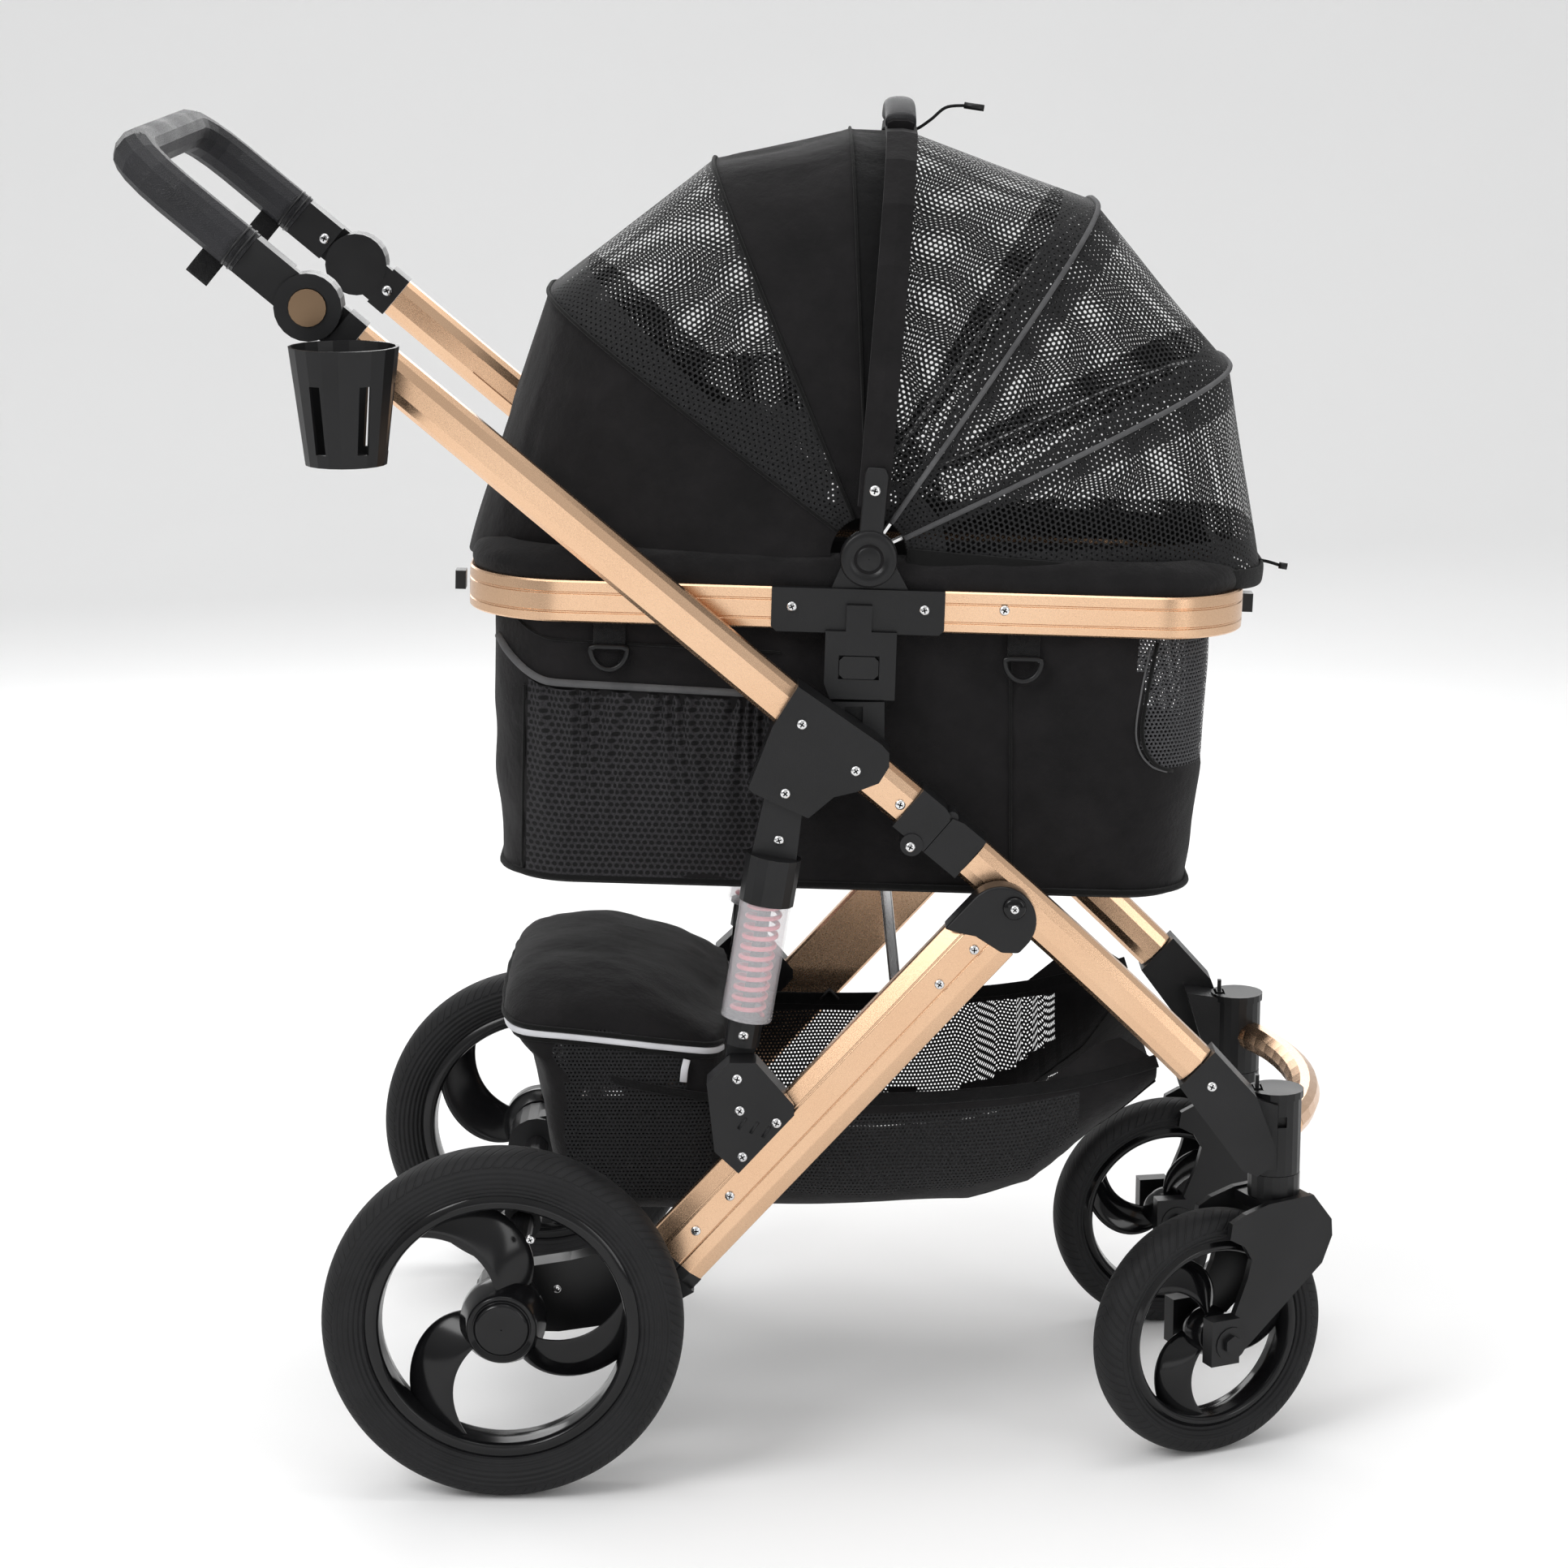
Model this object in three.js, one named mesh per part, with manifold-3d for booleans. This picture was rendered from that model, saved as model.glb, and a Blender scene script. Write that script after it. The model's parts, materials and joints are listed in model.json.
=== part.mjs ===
// A four-wheeled pet stroller: a folding aluminium chassis with sprung rear links, swivelling
// front casters and a lift-off cabin under a fan canopy. Millimetres, +X forward, +Y left, +Z up.
// Suffix _L is the left side (+Y), _R the right side (-Y).
import * as THREE from 'three';
import { mergeVertices } from 'three/addons/utils/BufferGeometryUtils.js';
import Module from 'manifold-3d';

const wasm = await Module();
wasm.setup();

// ---------------------------------------------------------------- driving dimensions

const GAP = 0.3;
const SIDES = [{ tag: 'L', sign: 1 }, { tag: 'R', sign: -1 }];

// Half spacing of the two frame sides and the widths of what lies in those planes.
const TUBE_Y = 178;
const TUBE = { width: 24, height: 35 };
const FRAME_INNER_Y = 163;
const LEG_Y = { inner: 194, outer: 214 };
const SHOCK_Y = 186;

// Side-view points (x, z) of the frame.
const HANDLE_HUB = [-363, 931];
const COLLAR_START = [97, 540];
const COLLAR_LENGTH = 65;
const COLLAR_HEIGHT = 38;
const FOLD_HINGE = { along: 32.3, above: 16 };
const LEG_PIVOT = [180, 465];
const FRONT_MOUTH = [327.4, 327.6];
const FRONT_LEG_BEND = [243, 412];
const SHOCK_TOP = [1, 553];
const SHOCK_FOOT = [-37, 327];
const LEG_TOP = [162.5, 446.5];
const LEG_END = [-93, 169];

const REAR_WHEEL = { x: -221, y: 264.5, radius: 142.5, width: 45, bead: 107.5, opening: 96, hub: 28 };
const FRONT_WHEEL = { radius: 101.5, width: 35, bead: 78, opening: 69, hub: 17 };
const CASTER = { x: 397, y: 145.5, trail: 60, headRadius: 21, headTop: 298, split: 229 };
const CASTER_YAW = { L: 0.175, R: 0.45 };

const BAR = { angle: 140, length: 178, armEnd: 62, gripRadius: 17, cornerRadius: 46 };
const HUB_RADIUS = 26;

// The cabin has its own level frame, centred on its rim and pitched nose-down on the posts.
const CABIN = { x: 58, z: 690, pitch: 1.7, halfLength: 310, halfWidth: 152, corner: 78 };
const RIM = { thickness: 13, height: 33 };
const SHELL =
  { rear: -288, front: 284, halfWidth: 136, bottom: -233, top: 12, taper: 9, wall: 4, corner: 62 };
const CONNECTOR = { halfLength: 68, outer: 156, top: 17, bottom: -18 };
const CANOPY = { x: 7, z: 42, radius: 322, halfWidth: 141, power: 3.6, skin: 2.5, clear: 30 };
const CANOPY_ANGLES =
  { frontEdge: -3.5, front2: 27, front1: 57, hoop: 87, rear1: 114, rear2: 144, rearEdge: 183.5 };

const CENTRE_X = -33.62;
const CUP = { x: -331, y: -242, top: 907, bottom: 818, topRadius: 42, bottomRadius: 31, wall: 2.5 };

// ---------------------------------------------------------------- materials

const finish = (color, roughness, metalness) =>
  new THREE.MeshStandardMaterial({ color, roughness, metalness });
const GOLD = finish(0xc9a07a, 0.35, 0.9);
const BLACK = finish(0x1b1b1c, 0.55, 0);
const GLOSS = finish(0x0c0c0d, 0.2, 0);
const RUBBER = finish(0x1c1d1f, 0.85, 0);
const STEEL = finish(0xb9babc, 0.3, 1);
const FABRIC = finish(0x161516, 0.9, 0);
const NET = finish(0x222124, 0.9, 0);
const LEATHERETTE = finish(0x1e1e22, 0.5, 0);
const BRONZE = finish(0x8d7357, 0.35, 0.8);
const GREY = finish(0x6b6c6e, 0.6, 0);

// ---------------------------------------------------------------- solids

// A closed geometry as a manifold-3d solid, with its faces turned to point out.
function solid(geometry) {
  const bare = new THREE.BufferGeometry();
  bare.setAttribute('position', geometry.getAttribute('position'));
  bare.setIndex(geometry.getIndex());
  const merged = mergeVertices(bare, 1e-3);
  const corners = new Uint32Array(merged.index.array);
  const build = () =>
    new wasm.Manifold(
      new wasm.Mesh({ numProp: 3, vertProperties: merged.attributes.position.array, triVerts: corners }),
    );
  const made = build();
  if (made.volume() > 0) return made;
  for (let i = 0; i < corners.length; i += 3) {
    [corners[i + 1], corners[i + 2]] = [corners[i + 2], corners[i + 1]];
  }
  return build();
}

function geometryOf(body) {
  const { vertProperties, triVerts } = body.getMesh();
  const geometry = new THREE.BufferGeometry();
  geometry.setAttribute('position', new THREE.BufferAttribute(new Float32Array(vertProperties), 3));
  geometry.setIndex(new THREE.BufferAttribute(new Uint32Array(triVerts), 1));
  geometry.computeVertexNormals();
  return geometry;
}

const join = (...parts) => parts.reduce((sum, part) => sum.add(part));
const cut = (body, ...tools) => tools.reduce((rest, tool) => rest.subtract(tool), body);

function add(group, name, body, material) {
  const mesh = new THREE.Mesh(geometryOf(body), material);
  mesh.name = name;
  group.add(mesh);
  return mesh;
}

const shapeOf = (points) => new THREE.Shape(points.map(([x, y]) => new THREE.Vector2(x, y)));

// A side-view outline, points (x, z), made solid between two distances from the middle plane.
function slab(points, side, near, far) {
  const shape = points instanceof THREE.Shape ? points : shapeOf(points);
  const geometry = new THREE.ExtrudeGeometry(shape, {
    depth: far - near,
    bevelEnabled: false,
    curveSegments: 8,
  });
  geometry.rotateX(Math.PI / 2);
  geometry.translate(0, side > 0 ? far : -near, 0);
  return solid(geometry);
}

// A plan outline, points (x, y), made solid between two heights.
function tier(shape, low, high) {
  const geometry =
    new THREE.ExtrudeGeometry(shape, { depth: high - low, bevelEnabled: false, curveSegments: 8 });
  geometry.translate(0, 0, low);
  return solid(geometry);
}

// A round bar across the stroller, centred at (x, z).
function crossBar([x, z], radius, side, near, far, segments = 16) {
  const geometry = new THREE.CylinderGeometry(radius, radius, far - near, segments);
  geometry.translate(x, (side * (near + far)) / 2, z);
  return solid(geometry);
}

function upright(x, y, radius, low, high, segments = 20, topRadius = radius) {
  const geometry = new THREE.CylinderGeometry(topRadius, radius, high - low, segments);
  geometry.rotateX(Math.PI / 2);
  geometry.translate(x, y, (low + high) / 2);
  return solid(geometry);
}

function block(x0, x1, y0, y1, z0, z1) {
  const geometry = new THREE.BoxGeometry(x1 - x0, Math.abs(y1 - y0), z1 - z0);
  geometry.translate((x0 + x1) / 2, (y0 + y1) / 2, (z0 + z1) / 2);
  return solid(geometry);
}

// A closed surface through rings of matching points, capped at both ends.
function loft(rings, capOutline) {
  const size = rings[0].length;
  const positions = rings.flat().flatMap((point) => point.toArray());
  const corners = [];
  for (let r = 0; r + 1 < rings.length; r += 1) {
    for (let i = 0; i < size; i += 1) {
      const a = r * size + i;
      const b = r * size + ((i + 1) % size);
      corners.push(a, b, a + size, b, b + size, a + size);
    }
  }
  const last = (rings.length - 1) * size;
  const clockwise = THREE.ShapeUtils.isClockWise(capOutline);
  for (const triangle of THREE.ShapeUtils.triangulateShape(capOutline, [])) {
    const [a, b, c] = clockwise ? triangle.reverse() : triangle;
    corners.push(c, b, a, last + a, last + b, last + c);
  }
  const geometry = new THREE.BufferGeometry();
  geometry.setAttribute('position', new THREE.Float32BufferAttribute(positions, 3));
  geometry.setIndex(corners);
  return solid(geometry);
}

// A section carried along a path that lies in one plane; section x is along the plane's normal.
function sweep(path, section, normal) {
  const rings = path.map((point, i) => {
    const before = path[Math.max(i - 1, 0)];
    const after = path[Math.min(i + 1, path.length - 1)];
    const across = new THREE.Vector3().subVectors(after, before).normalize().cross(normal);
    return section.map((s) => point.clone().addScaledVector(normal, s.x).addScaledVector(across, s.y));
  });
  return loft(rings, section);
}

// A rounded-oblong section, as wide as a superellipse.
function oval(width, height, count = 12, power = 2.8) {
  return Array.from({ length: count }, (_, i) => {
    const a = ((i + 0.5) / count) * 2 * Math.PI;
    const c = Math.cos(a);
    const s = Math.sin(a);
    const x = (Math.sign(c) * Math.abs(c) ** (2 / power) * width) / 2;
    const y = (Math.sign(s) * Math.abs(s) ** (2 / power) * height) / 2;
    return new THREE.Vector2(x, y);
  });
}

const Y_AXIS = new THREE.Vector3(0, 1, 0);
const at = ([x, z], y) => new THREE.Vector3(x, y, z);

// A straight bar between two side-view points, in the plane at distance y.
function strut(from, to, y, section) {
  return sweep([at(from, y), at(to, y)], section, Y_AXIS);
}

// Turned shape about a cross axis, from (radius, offset) points that close on themselves.
function turned(profile, centre, y, segments) {
  const points = [...profile, profile[0]].map(([r, o]) => new THREE.Vector2(r, o));
  const geometry = new THREE.LatheGeometry(points, segments);
  geometry.rotateY(Math.PI / segments);
  geometry.translate(centre[0], y, centre[1]);
  return solid(geometry);
}

// A plan outline with round corners, centred on the middle plane.
function roundedPlan(rear, front, halfWidth, radius) {
  const shape = new THREE.Shape();
  shape.moveTo(rear + radius, -halfWidth);
  shape.lineTo(front - radius, -halfWidth);
  shape.absarc(front - radius, -halfWidth + radius, radius, -Math.PI / 2, 0);
  shape.absarc(front - radius, halfWidth - radius, radius, 0, Math.PI / 2);
  shape.absarc(rear + radius, halfWidth - radius, radius, Math.PI / 2, Math.PI);
  shape.absarc(rear + radius, -halfWidth + radius, radius, Math.PI, 1.5 * Math.PI);
  return shape;
}

// ---------------------------------------------------------------- the handle tube's own line

const tubeStep = [COLLAR_START[0] - HANDLE_HUB[0], COLLAR_START[1] - HANDLE_HUB[1]];
const tubeLength = Math.hypot(...tubeStep);
const ALONG = tubeStep.map((v) => v / tubeLength);
const ABOVE = [-ALONG[1], ALONG[0]];

// A point of the tube's line: distance past the collar's start, and height above the axis.
const onTube = (along, above = 0) => [
  COLLAR_START[0] + ALONG[0] * along + ABOVE[0] * above,
  COLLAR_START[1] + ALONG[1] * along + ABOVE[1] * above,
];
const boxOnTube = (a0, a1, b0, b1) => [onTube(a0, b0), onTube(a1, b0), onTube(a1, b1), onTube(a0, b1)];
const FOLD_AXIS = onTube(FOLD_HINGE.along, FOLD_HINGE.above);
const tubeSection = oval(TUBE.width, TUBE.height);
const tubeClearance = oval(TUBE.width + 2 * GAP, TUBE.height + 2 * GAP);

// ---------------------------------------------------------------- fold hinge

const EAR = { radius: 5, clear: 5.6, pin: 2, hole: 2.2 };
const HANDLE_EAR = [174, 182];
const LEG_EARS = [[166, 173.7], [182.3, 190]];
const COLLAR_Y = [FRAME_INNER_Y, 193];

function hingeNotch(side) {
  const half = COLLAR_HEIGHT / 2 + 0.5;
  const outline = [
    onTube(FOLD_HINGE.along - 11, half),
    onTube(FOLD_HINGE.along + 11, half),
    onTube(FOLD_HINGE.along, FOLD_HINGE.above),
  ];
  return slab(outline, side, COLLAR_Y[0] - 1, COLLAR_Y[1] + 3);
}

const ear = (side, [near, far]) => crossBar(FOLD_AXIS, EAR.radius, side, near, far, 12);
const earClearance = (side, [near, far]) => crossBar(FOLD_AXIS, EAR.clear, side, near - GAP, far + GAP, 12);
const pinHole = (side) => crossBar(FOLD_AXIS, EAR.hole, side, COLLAR_Y[0] - 1, COLLAR_Y[1] + 1, 12);

// The hinge half on the handle tube, with the latch lobe under it.
function hingeKnuckle(side) {
  const half = COLLAR_HEIGHT / 2;
  const body = slab(boxOnTube(GAP, FOLD_HINGE.along - GAP, -half, half), side, ...COLLAR_Y);
  const lobe = crossBar(onTube(21.3, -20.5), 9, side, 170, 194.5, 20);
  const clear = cut(join(body, lobe), hingeNotch(side), ...LEG_EARS.map((y) => earClearance(side, y)));
  return cut(join(clear, ear(side, HANDLE_EAR)), pinHole(side));
}

// The hinge half on the front leg.
function hingeSocket(side) {
  const half = COLLAR_HEIGHT / 2;
  const body = slab(boxOnTube(FOLD_HINGE.along + GAP, COLLAR_LENGTH, -half, half), side, ...COLLAR_Y);
  const clear = cut(body, hingeNotch(side), earClearance(side, HANDLE_EAR));
  const pin = crossBar(FOLD_AXIS, EAR.pin, side, LEG_EARS[0][0], LEG_EARS[1][1], 12);
  return join(clear, ...LEG_EARS.map((y) => ear(side, y)), pin);
}

// ---------------------------------------------------------------- front frame

const frontLegPath = new THREE.QuadraticBezierCurve(
  new THREE.Vector2(...onTube(COLLAR_LENGTH + 1.3)),
  new THREE.Vector2(...FRONT_LEG_BEND),
  new THREE.Vector2(...FRONT_MOUTH),
);

// The pin that the rear leg turns on, with its head outside the leg.
const legPin = (side) =>
  join(
    crossBar(LEG_PIVOT, 9, side, TUBE_Y, LEG_Y.inner - GAP, 20),
    crossBar(LEG_PIVOT, 5, side, TUBE_Y, LEG_Y.outer + 3, 16),
    crossBar(LEG_PIVOT, 8, side, LEG_Y.outer + 2.4, LEG_Y.outer + 6, 20),
  );

function frontLeg(side) {
  const path = frontLegPath.getPoints(5).map((p) => at([p.x, p.y], side * TUBE_Y));
  return join(sweep(path, tubeSection, Y_AXIS), legPin(side));
}

// The casting that holds the leg's foot and the upright caster head beside it.
function frontBracket(side) {
  const sleeveOutline = [
    [314.5, 312.5], [342, 341.5], [376, 304], [392, 262], [390, 246], [378, 238], [366, 243],
  ];
  const webOutline = [[352, 300], [374, 297], [396, 290], [396, 236], [372, 236]];
  const sleeve = slab(sleeveOutline, side, 163, 193);
  const web = slab(webOutline, side, 132, 170);
  const y = side * CASTER.y;
  const head = upright(CASTER.x, y, CASTER.headRadius, CASTER.split, CASTER.headTop - 6);
  const rim = upright(CASTER.x, y, CASTER.headRadius + 1.5, CASTER.headTop - 6, CASTER.headTop);
  const window_ = block(CASTER.x - 7, CASTER.x + 7, y + side * 14, y + side * 24, 270, 279);
  const tabSlot = block(CASTER.x - 20, CASTER.x - 11, y - 9, y + 9, CASTER.headTop - 3, CASTER.headTop + 2);
  return cut(join(sleeve, web, head, rim), window_, tabSlot);
}

const casterLockTab = (side) =>
  join(
    block(CASTER.x - 18, CASTER.x - 13, side * CASTER.y - 5, side * CASTER.y + 5, CASTER.headTop - 2.7,
      CASTER.headTop + 1),
    block(CASTER.x - 17, CASTER.x - 14, side * CASTER.y - 2.5, side * CASTER.y + 2.5, CASTER.headTop,
      CASTER.headTop + 11),
  );

function frontCrossTube() {
  const reach = CASTER.y;
  const path = Array.from({ length: 15 }, (_, i) => {
    const y = -reach + (2 * reach * i) / 14;
    const bow = Math.cos((y / reach) * (Math.PI / 2)) ** 0.7;
    return new THREE.Vector3(CASTER.x + 40 * bow, y, 262);
  });
  const tube = sweep(path, oval(25, 25, 10, 2), new THREE.Vector3(0, 0, 1));
  const heads = SIDES.map(({ sign }) =>
    upright(CASTER.x, sign * CASTER.y, CASTER.headRadius + GAP, 220, 300));
  const ends = SIDES.map(({ sign }) =>
    block(340, 460, sign * CASTER.y - 14, sign * CASTER.y + 14, 220, 300));
  const webs = SIDES.map(({ sign }) =>
    slab([[340, 220], [396.3, 220], [396.3, 310], [340, 310]], sign, 131, 171));
  return cut(tube, ...heads, ...ends, ...webs);
}


// The open mesh tray slung between the front legs and the rear bag.
const TRAY_OUTLINE = [
  [-42, 205], [-30, 193], [150, 197], [200, 214], [262, 262], [300, 306], [262, 336], [196, 314],
  [70, 300], [-42, 292],
];
const TRAY_INSIDE = [
  [-60, 208], [-28, 197.5], [149, 201.5], [198, 218], [259, 265], [288, 300], [276, 380], [-60, 380],
];
const basketTray = () =>
  cut(join(slab(TRAY_OUTLINE, 1, -154, 154)), slab(TRAY_INSIDE, 1, -150, 150));

// ---------------------------------------------------------------- casters

function casterFork() {
  const collar = upright(0, 0, CASTER.headRadius, 199, CASTER.split - 0.5);
  const crown =
    slab([[-22, 200], [-22, 209], [20, 212], [38, 190], [36, 176], [27, 178], [20, 199]], 1, -29, 29);
  const blade = [
    [-22, 211], [20, 213], [38, 190], [39, 176], [30, 154], [-50, 84], [-56, 112],
    [-41, 150], [-37, 166], [-44, 178], [-58, 186], [-56, 199], [-44, 205],
  ];
  const blades = [-29, 23].map((near) => slab(blade, 1, near, near + 6));
  const feet = [[-37, -23], [23, 37]].map(([y0, y1]) => block(-78, -52, y0, y1, 84, 122));
  const bosses = [[-38, -23], [23, 38]].map(([y0, y1]) => crossBar([-CASTER.trail, 101.5], 14, 1, y0, y1));
  const tyreRoom = crossBar([-CASTER.trail, 101.5], FRONT_WHEEL.radius + 4, 1, -22.5, 22.5, 48);
  const bolt = join(
    crossBar([-CASTER.trail, 101.5], 5, 1, -41, 41, 16),
    crossBar([-CASTER.trail, 101.5], 8, 1, 36, 42, 6),
    crossBar([-CASTER.trail, 101.5], 8, 1, -42, -36, 6),
  );
  return join(cut(join(collar, crown, ...blades, ...feet, ...bosses), tyreRoom), bolt);
}

// ---------------------------------------------------------------- wheels

// A round tread with flat shoulders; its facets touch the rolling radius.
function tyre({ radius, width, bead }, centre, y, segments) {
  const outer = radius / Math.cos(Math.PI / segments);
  const half = width / 2;
  const wall = outer - bead;
  const profile = [
    [bead + GAP, -half * 0.62], [bead + wall * 0.5, -half], [outer - wall * 0.16, -half * 0.8],
    [outer, -half * 0.4],
    [outer, half * 0.4], [outer - wall * 0.16, half * 0.8], [bead + wall * 0.5, half],
    [bead + GAP, half * 0.62],
  ];
  return turned(profile, centre, y, segments);
}

// Rim ring, hub and three spokes that sweep round like blades.
function rim({ width, bead, opening, hub }, centre, y, bore, segments, caps = []) {
  const half = width / 2;
  const ring = turned(
    [[bead - GAP, -half * 0.6], [bead - GAP, half * 0.6], [bead - 4, half * 0.78], [opening, half * 0.66],
      [opening + 3, 0], [opening, -half * 0.66], [bead - 4, -half * 0.78]],
    centre, y, segments,
  );
  const hubBody = crossBar(centre, hub, 1, y - half * 0.92, y + half * 0.92);
  const spokes = [0, 1, 2].map((i) => {
    const turn = (i / 3) * 2 * Math.PI + Math.PI / 3;
    const outline = spokeOutline(hub, opening + 7).map(([px, pz]) => [
      centre[0] + px * Math.cos(turn) - pz * Math.sin(turn),
      centre[1] + px * Math.sin(turn) + pz * Math.cos(turn),
    ]);
    return slab(outline, 1, y - half * 0.42, y + half * 0.42);
  });
  const turning =
    cut(join(ring, hubBody, ...spokes), crossBar(centre, bore, 1, y - half - 5, y + half + 5, 12));
  return join(turning, ...caps);
}

// A blade that leaves the hub on one side and widens as it sweeps round to the ring.
function spokeOutline(hub, reach) {
  const bladePoint = (radius, angle) => [radius * Math.cos(angle), radius * Math.sin(angle)];
  const steps = [0, 0.35, 0.7, 1];
  const radiusAt = (t) => hub * 0.7 + (reach - hub * 0.7) * t;
  const leading = steps.map((t) => bladePoint(radiusAt(t), 0.55 + 0.5 * t * t));
  const trailing = steps.map((t) => bladePoint(radiusAt(t), -0.45 + 1.0 * t ** 1.5)).reverse();
  return [...leading, ...trailing];
}

// ---------------------------------------------------------------- rear frame

const legStep = [LEG_TOP[0] - LEG_END[0], LEG_TOP[1] - LEG_END[1]];
const legLength = Math.hypot(...legStep);
const LEG_UP = legStep.map((v) => v / legLength);
const onLeg = (up, across) => [
  LEG_TOP[0] + LEG_UP[0] * up - LEG_UP[1] * across,
  LEG_TOP[1] + LEG_UP[1] * up + LEG_UP[0] * across,
];

// Wide flat extrusion with a sloping facet along each edge of its outer face.
function legSection(side, grow = 0) {
  const middle = (LEG_Y.inner + LEG_Y.outer) / 2;
  return [
    [LEG_Y.inner - grow, -25 - grow], [LEG_Y.inner - grow, 25 + grow], [197, 27.5 + grow],
    [205, 27.5 + grow],
    [LEG_Y.outer + grow, 14], [LEG_Y.outer + grow, -16], [207, -27.5 - grow], [197, -27.5 - grow],
  ].map(([y, w]) => new THREE.Vector2(side * (y - middle), -w));
}

const legMiddle = (side) => (side * (LEG_Y.inner + LEG_Y.outer)) / 2;
const rearLeg = (side) => join(strut(LEG_END, LEG_TOP, legMiddle(side), legSection(side)), pivotCap(side));

function pivotCap(side) {
  const shape = new THREE.Shape();
  const radius = 28;
  const centre = onLeg(10, 0);
  const start = Math.atan2(LEG_UP[1], LEG_UP[0]);
  shape.moveTo(...onLeg(-20, -radius));
  shape.absarc(centre[0], centre[1], radius, start - Math.PI / 2, start + Math.PI / 2);
  shape.lineTo(...onLeg(-20, radius));
  const body = slab(shape, side, LEG_Y.inner, LEG_Y.outer + 2);
  return cut(body, crossBar(LEG_PIVOT, 5.2, side, LEG_Y.inner - 2, LEG_Y.outer + 5, 16));
}

// The bracket on the leg that takes the foot of the spring link.
function lowerPlate(side) {
  const outline = [[-61, 323], [-43, 340], [-22, 340], [8, 305], [8, 297], [-36, 249], [-55, 267]];
  const body = slab(outline, side, 193, LEG_Y.outer + 5);
  return cut(body, strut(onLeg(-400, 0), onLeg(20, 0), legMiddle(side), legSection(side, GAP)));
}

// The casting from the foot of the leg back to the axle.
function axleHousing(side) {
  const arm = [
    onLeg(-legLength - GAP, 27), onLeg(-legLength - GAP, -29), [-112, 126], [-180, 116], [-221, 117],
    [-246, 132],
    [-246, 152], [-221, 168], [-170, 176], [-120, 188],
  ];
  return join(slab(arm, side, 194, 216), crossBar(AXLE, 26, side, 188, 238, 20));
}

const AXLE = [REAR_WHEEL.x, REAR_WHEEL.radius];
const rearAxle = () =>
  join(crossBar(AXLE, 10, 1, -230, 230), crossBar(AXLE, 6, 1, -284, 284, 20), axleHousing(1),
    axleHousing(-1));
const hubCap = (side) =>
  join(crossBar(AXLE, 28, side, 284.6, 289, 20), crossBar(AXLE, 22, side, 288, 291, 20));

const PEDAL_Y = [-46, 46];
function brakePedal() {
  const pad =
    slab([[-262, 148], [-236, 170], [-204, 176], [-203, 171], [-232, 163], [-257, 143]], 1, ...PEDAL_Y);
  const arms = [[-24, -10], [10, 24]].map(([near, far]) =>
    join(
      crossBar(AXLE, 16, 1, near, far),
      slab([[-236, 150], [-206, 150], [-208, 172], [-234, 166]], 1, near, far),
    ));
  return cut(join(pad, ...arms), crossBar(AXLE, 10.3, 1, -60, 60));
}

// The zipped rear bag; it opens forward into the tray.
const BAG = { halfWidth: 154, wall: 4 };
const BAG_OUTLINE = [
  [-229, 353], [-225, 370], [-208, 382], [-175, 388], [-140, 386], [-95, 371], [-57, 348], [-43, 330],
  [-43, 200], [-62, 186], [-178, 190], [-190, 212], [-206, 310], [-222, 340],
];
const BAG_INSIDE = [
  [-223, 353], [-220, 366], [-205, 377], [-174, 383], [-141, 381], [-97, 366], [-60, 344], [-47, 328],
  [-47, 300], [-30, 300], [-30, 205], [-64, 190], [-175, 194], [-186, 214], [-202, 311], [-217, 341],
];
const basketBag = () =>
  cut(slab(BAG_OUTLINE, 1, -BAG.halfWidth, BAG.halfWidth),
    slab(BAG_INSIDE, 1, -BAG.halfWidth + BAG.wall, BAG.halfWidth - BAG.wall));

// ---------------------------------------------------------------- spring links

const linkStep = [SHOCK_TOP[0] - SHOCK_FOOT[0], SHOCK_TOP[1] - SHOCK_FOOT[1]];
const linkLength = Math.hypot(...linkStep);
const LINK_UP = linkStep.map((v) => v / linkLength);
const onLink = (up, across = 0) => [
  SHOCK_FOOT[0] + LINK_UP[0] * up + LINK_UP[1] * across,
  SHOCK_FOOT[1] + LINK_UP[1] * up - LINK_UP[0] * across,
];
const LINK = { cupTop: 44, tubeTop: 138, headTop: 176, tubeRadius: 20, headRadius: 22, rod: 5.5 };

// Round piece on the link's axis between two heights over its foot pin.
function onAxis(side, radius, low, high, segments = 16) {
  const circle = Array.from({ length: segments }, (_, i) => {
    const a = ((i + 0.5) / segments) * 2 * Math.PI;
    return new THREE.Vector2(radius * Math.cos(a), radius * Math.sin(a));
  });
  return strut(onLink(low), onLink(high), side * SHOCK_Y, circle);
}

const plateOnLink = (low, high, halfLow, halfHigh) =>
  [onLink(low, -halfLow), onLink(low, halfLow), onLink(high, halfHigh), onLink(high, -halfHigh)];

// The sliding half: foot, spring cup and rod.
const shockRod = (side) =>
  join(
    crossBar(SHOCK_FOOT, 11, side, SHOCK_Y - 6, SHOCK_Y + 6),
    slab(plateOnLink(0, 26, 10, 12), side, SHOCK_Y - 6, SHOCK_Y + 6),
    onAxis(side, 14, 20, LINK.cupTop - 3),
    onAxis(side, LINK.tubeRadius - 3, LINK.cupTop - 3, LINK.cupTop),
    onAxis(side, LINK.rod, LINK.cupTop - 1, LINK.tubeTop + 10, 12),
  );

// The upper half: yoke and cap, with a blind bore for the rod.
function shockBody(side) {
  const yoke = join(
    crossBar(SHOCK_TOP, 14, side, SHOCK_Y - 6, SHOCK_Y + 6),
    slab(plateOnLink(LINK.headTop - 4, linkLength, 18, 15), side, SHOCK_Y - 6, SHOCK_Y + 6),
  );
  const cap = onAxis(side, LINK.headRadius, LINK.tubeTop, LINK.headTop);
  const bore = onAxis(side, LINK.rod + GAP, LINK.tubeTop - 5, LINK.tubeTop + 28, 12);
  return cut(join(yoke, cap), bore);
}

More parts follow.
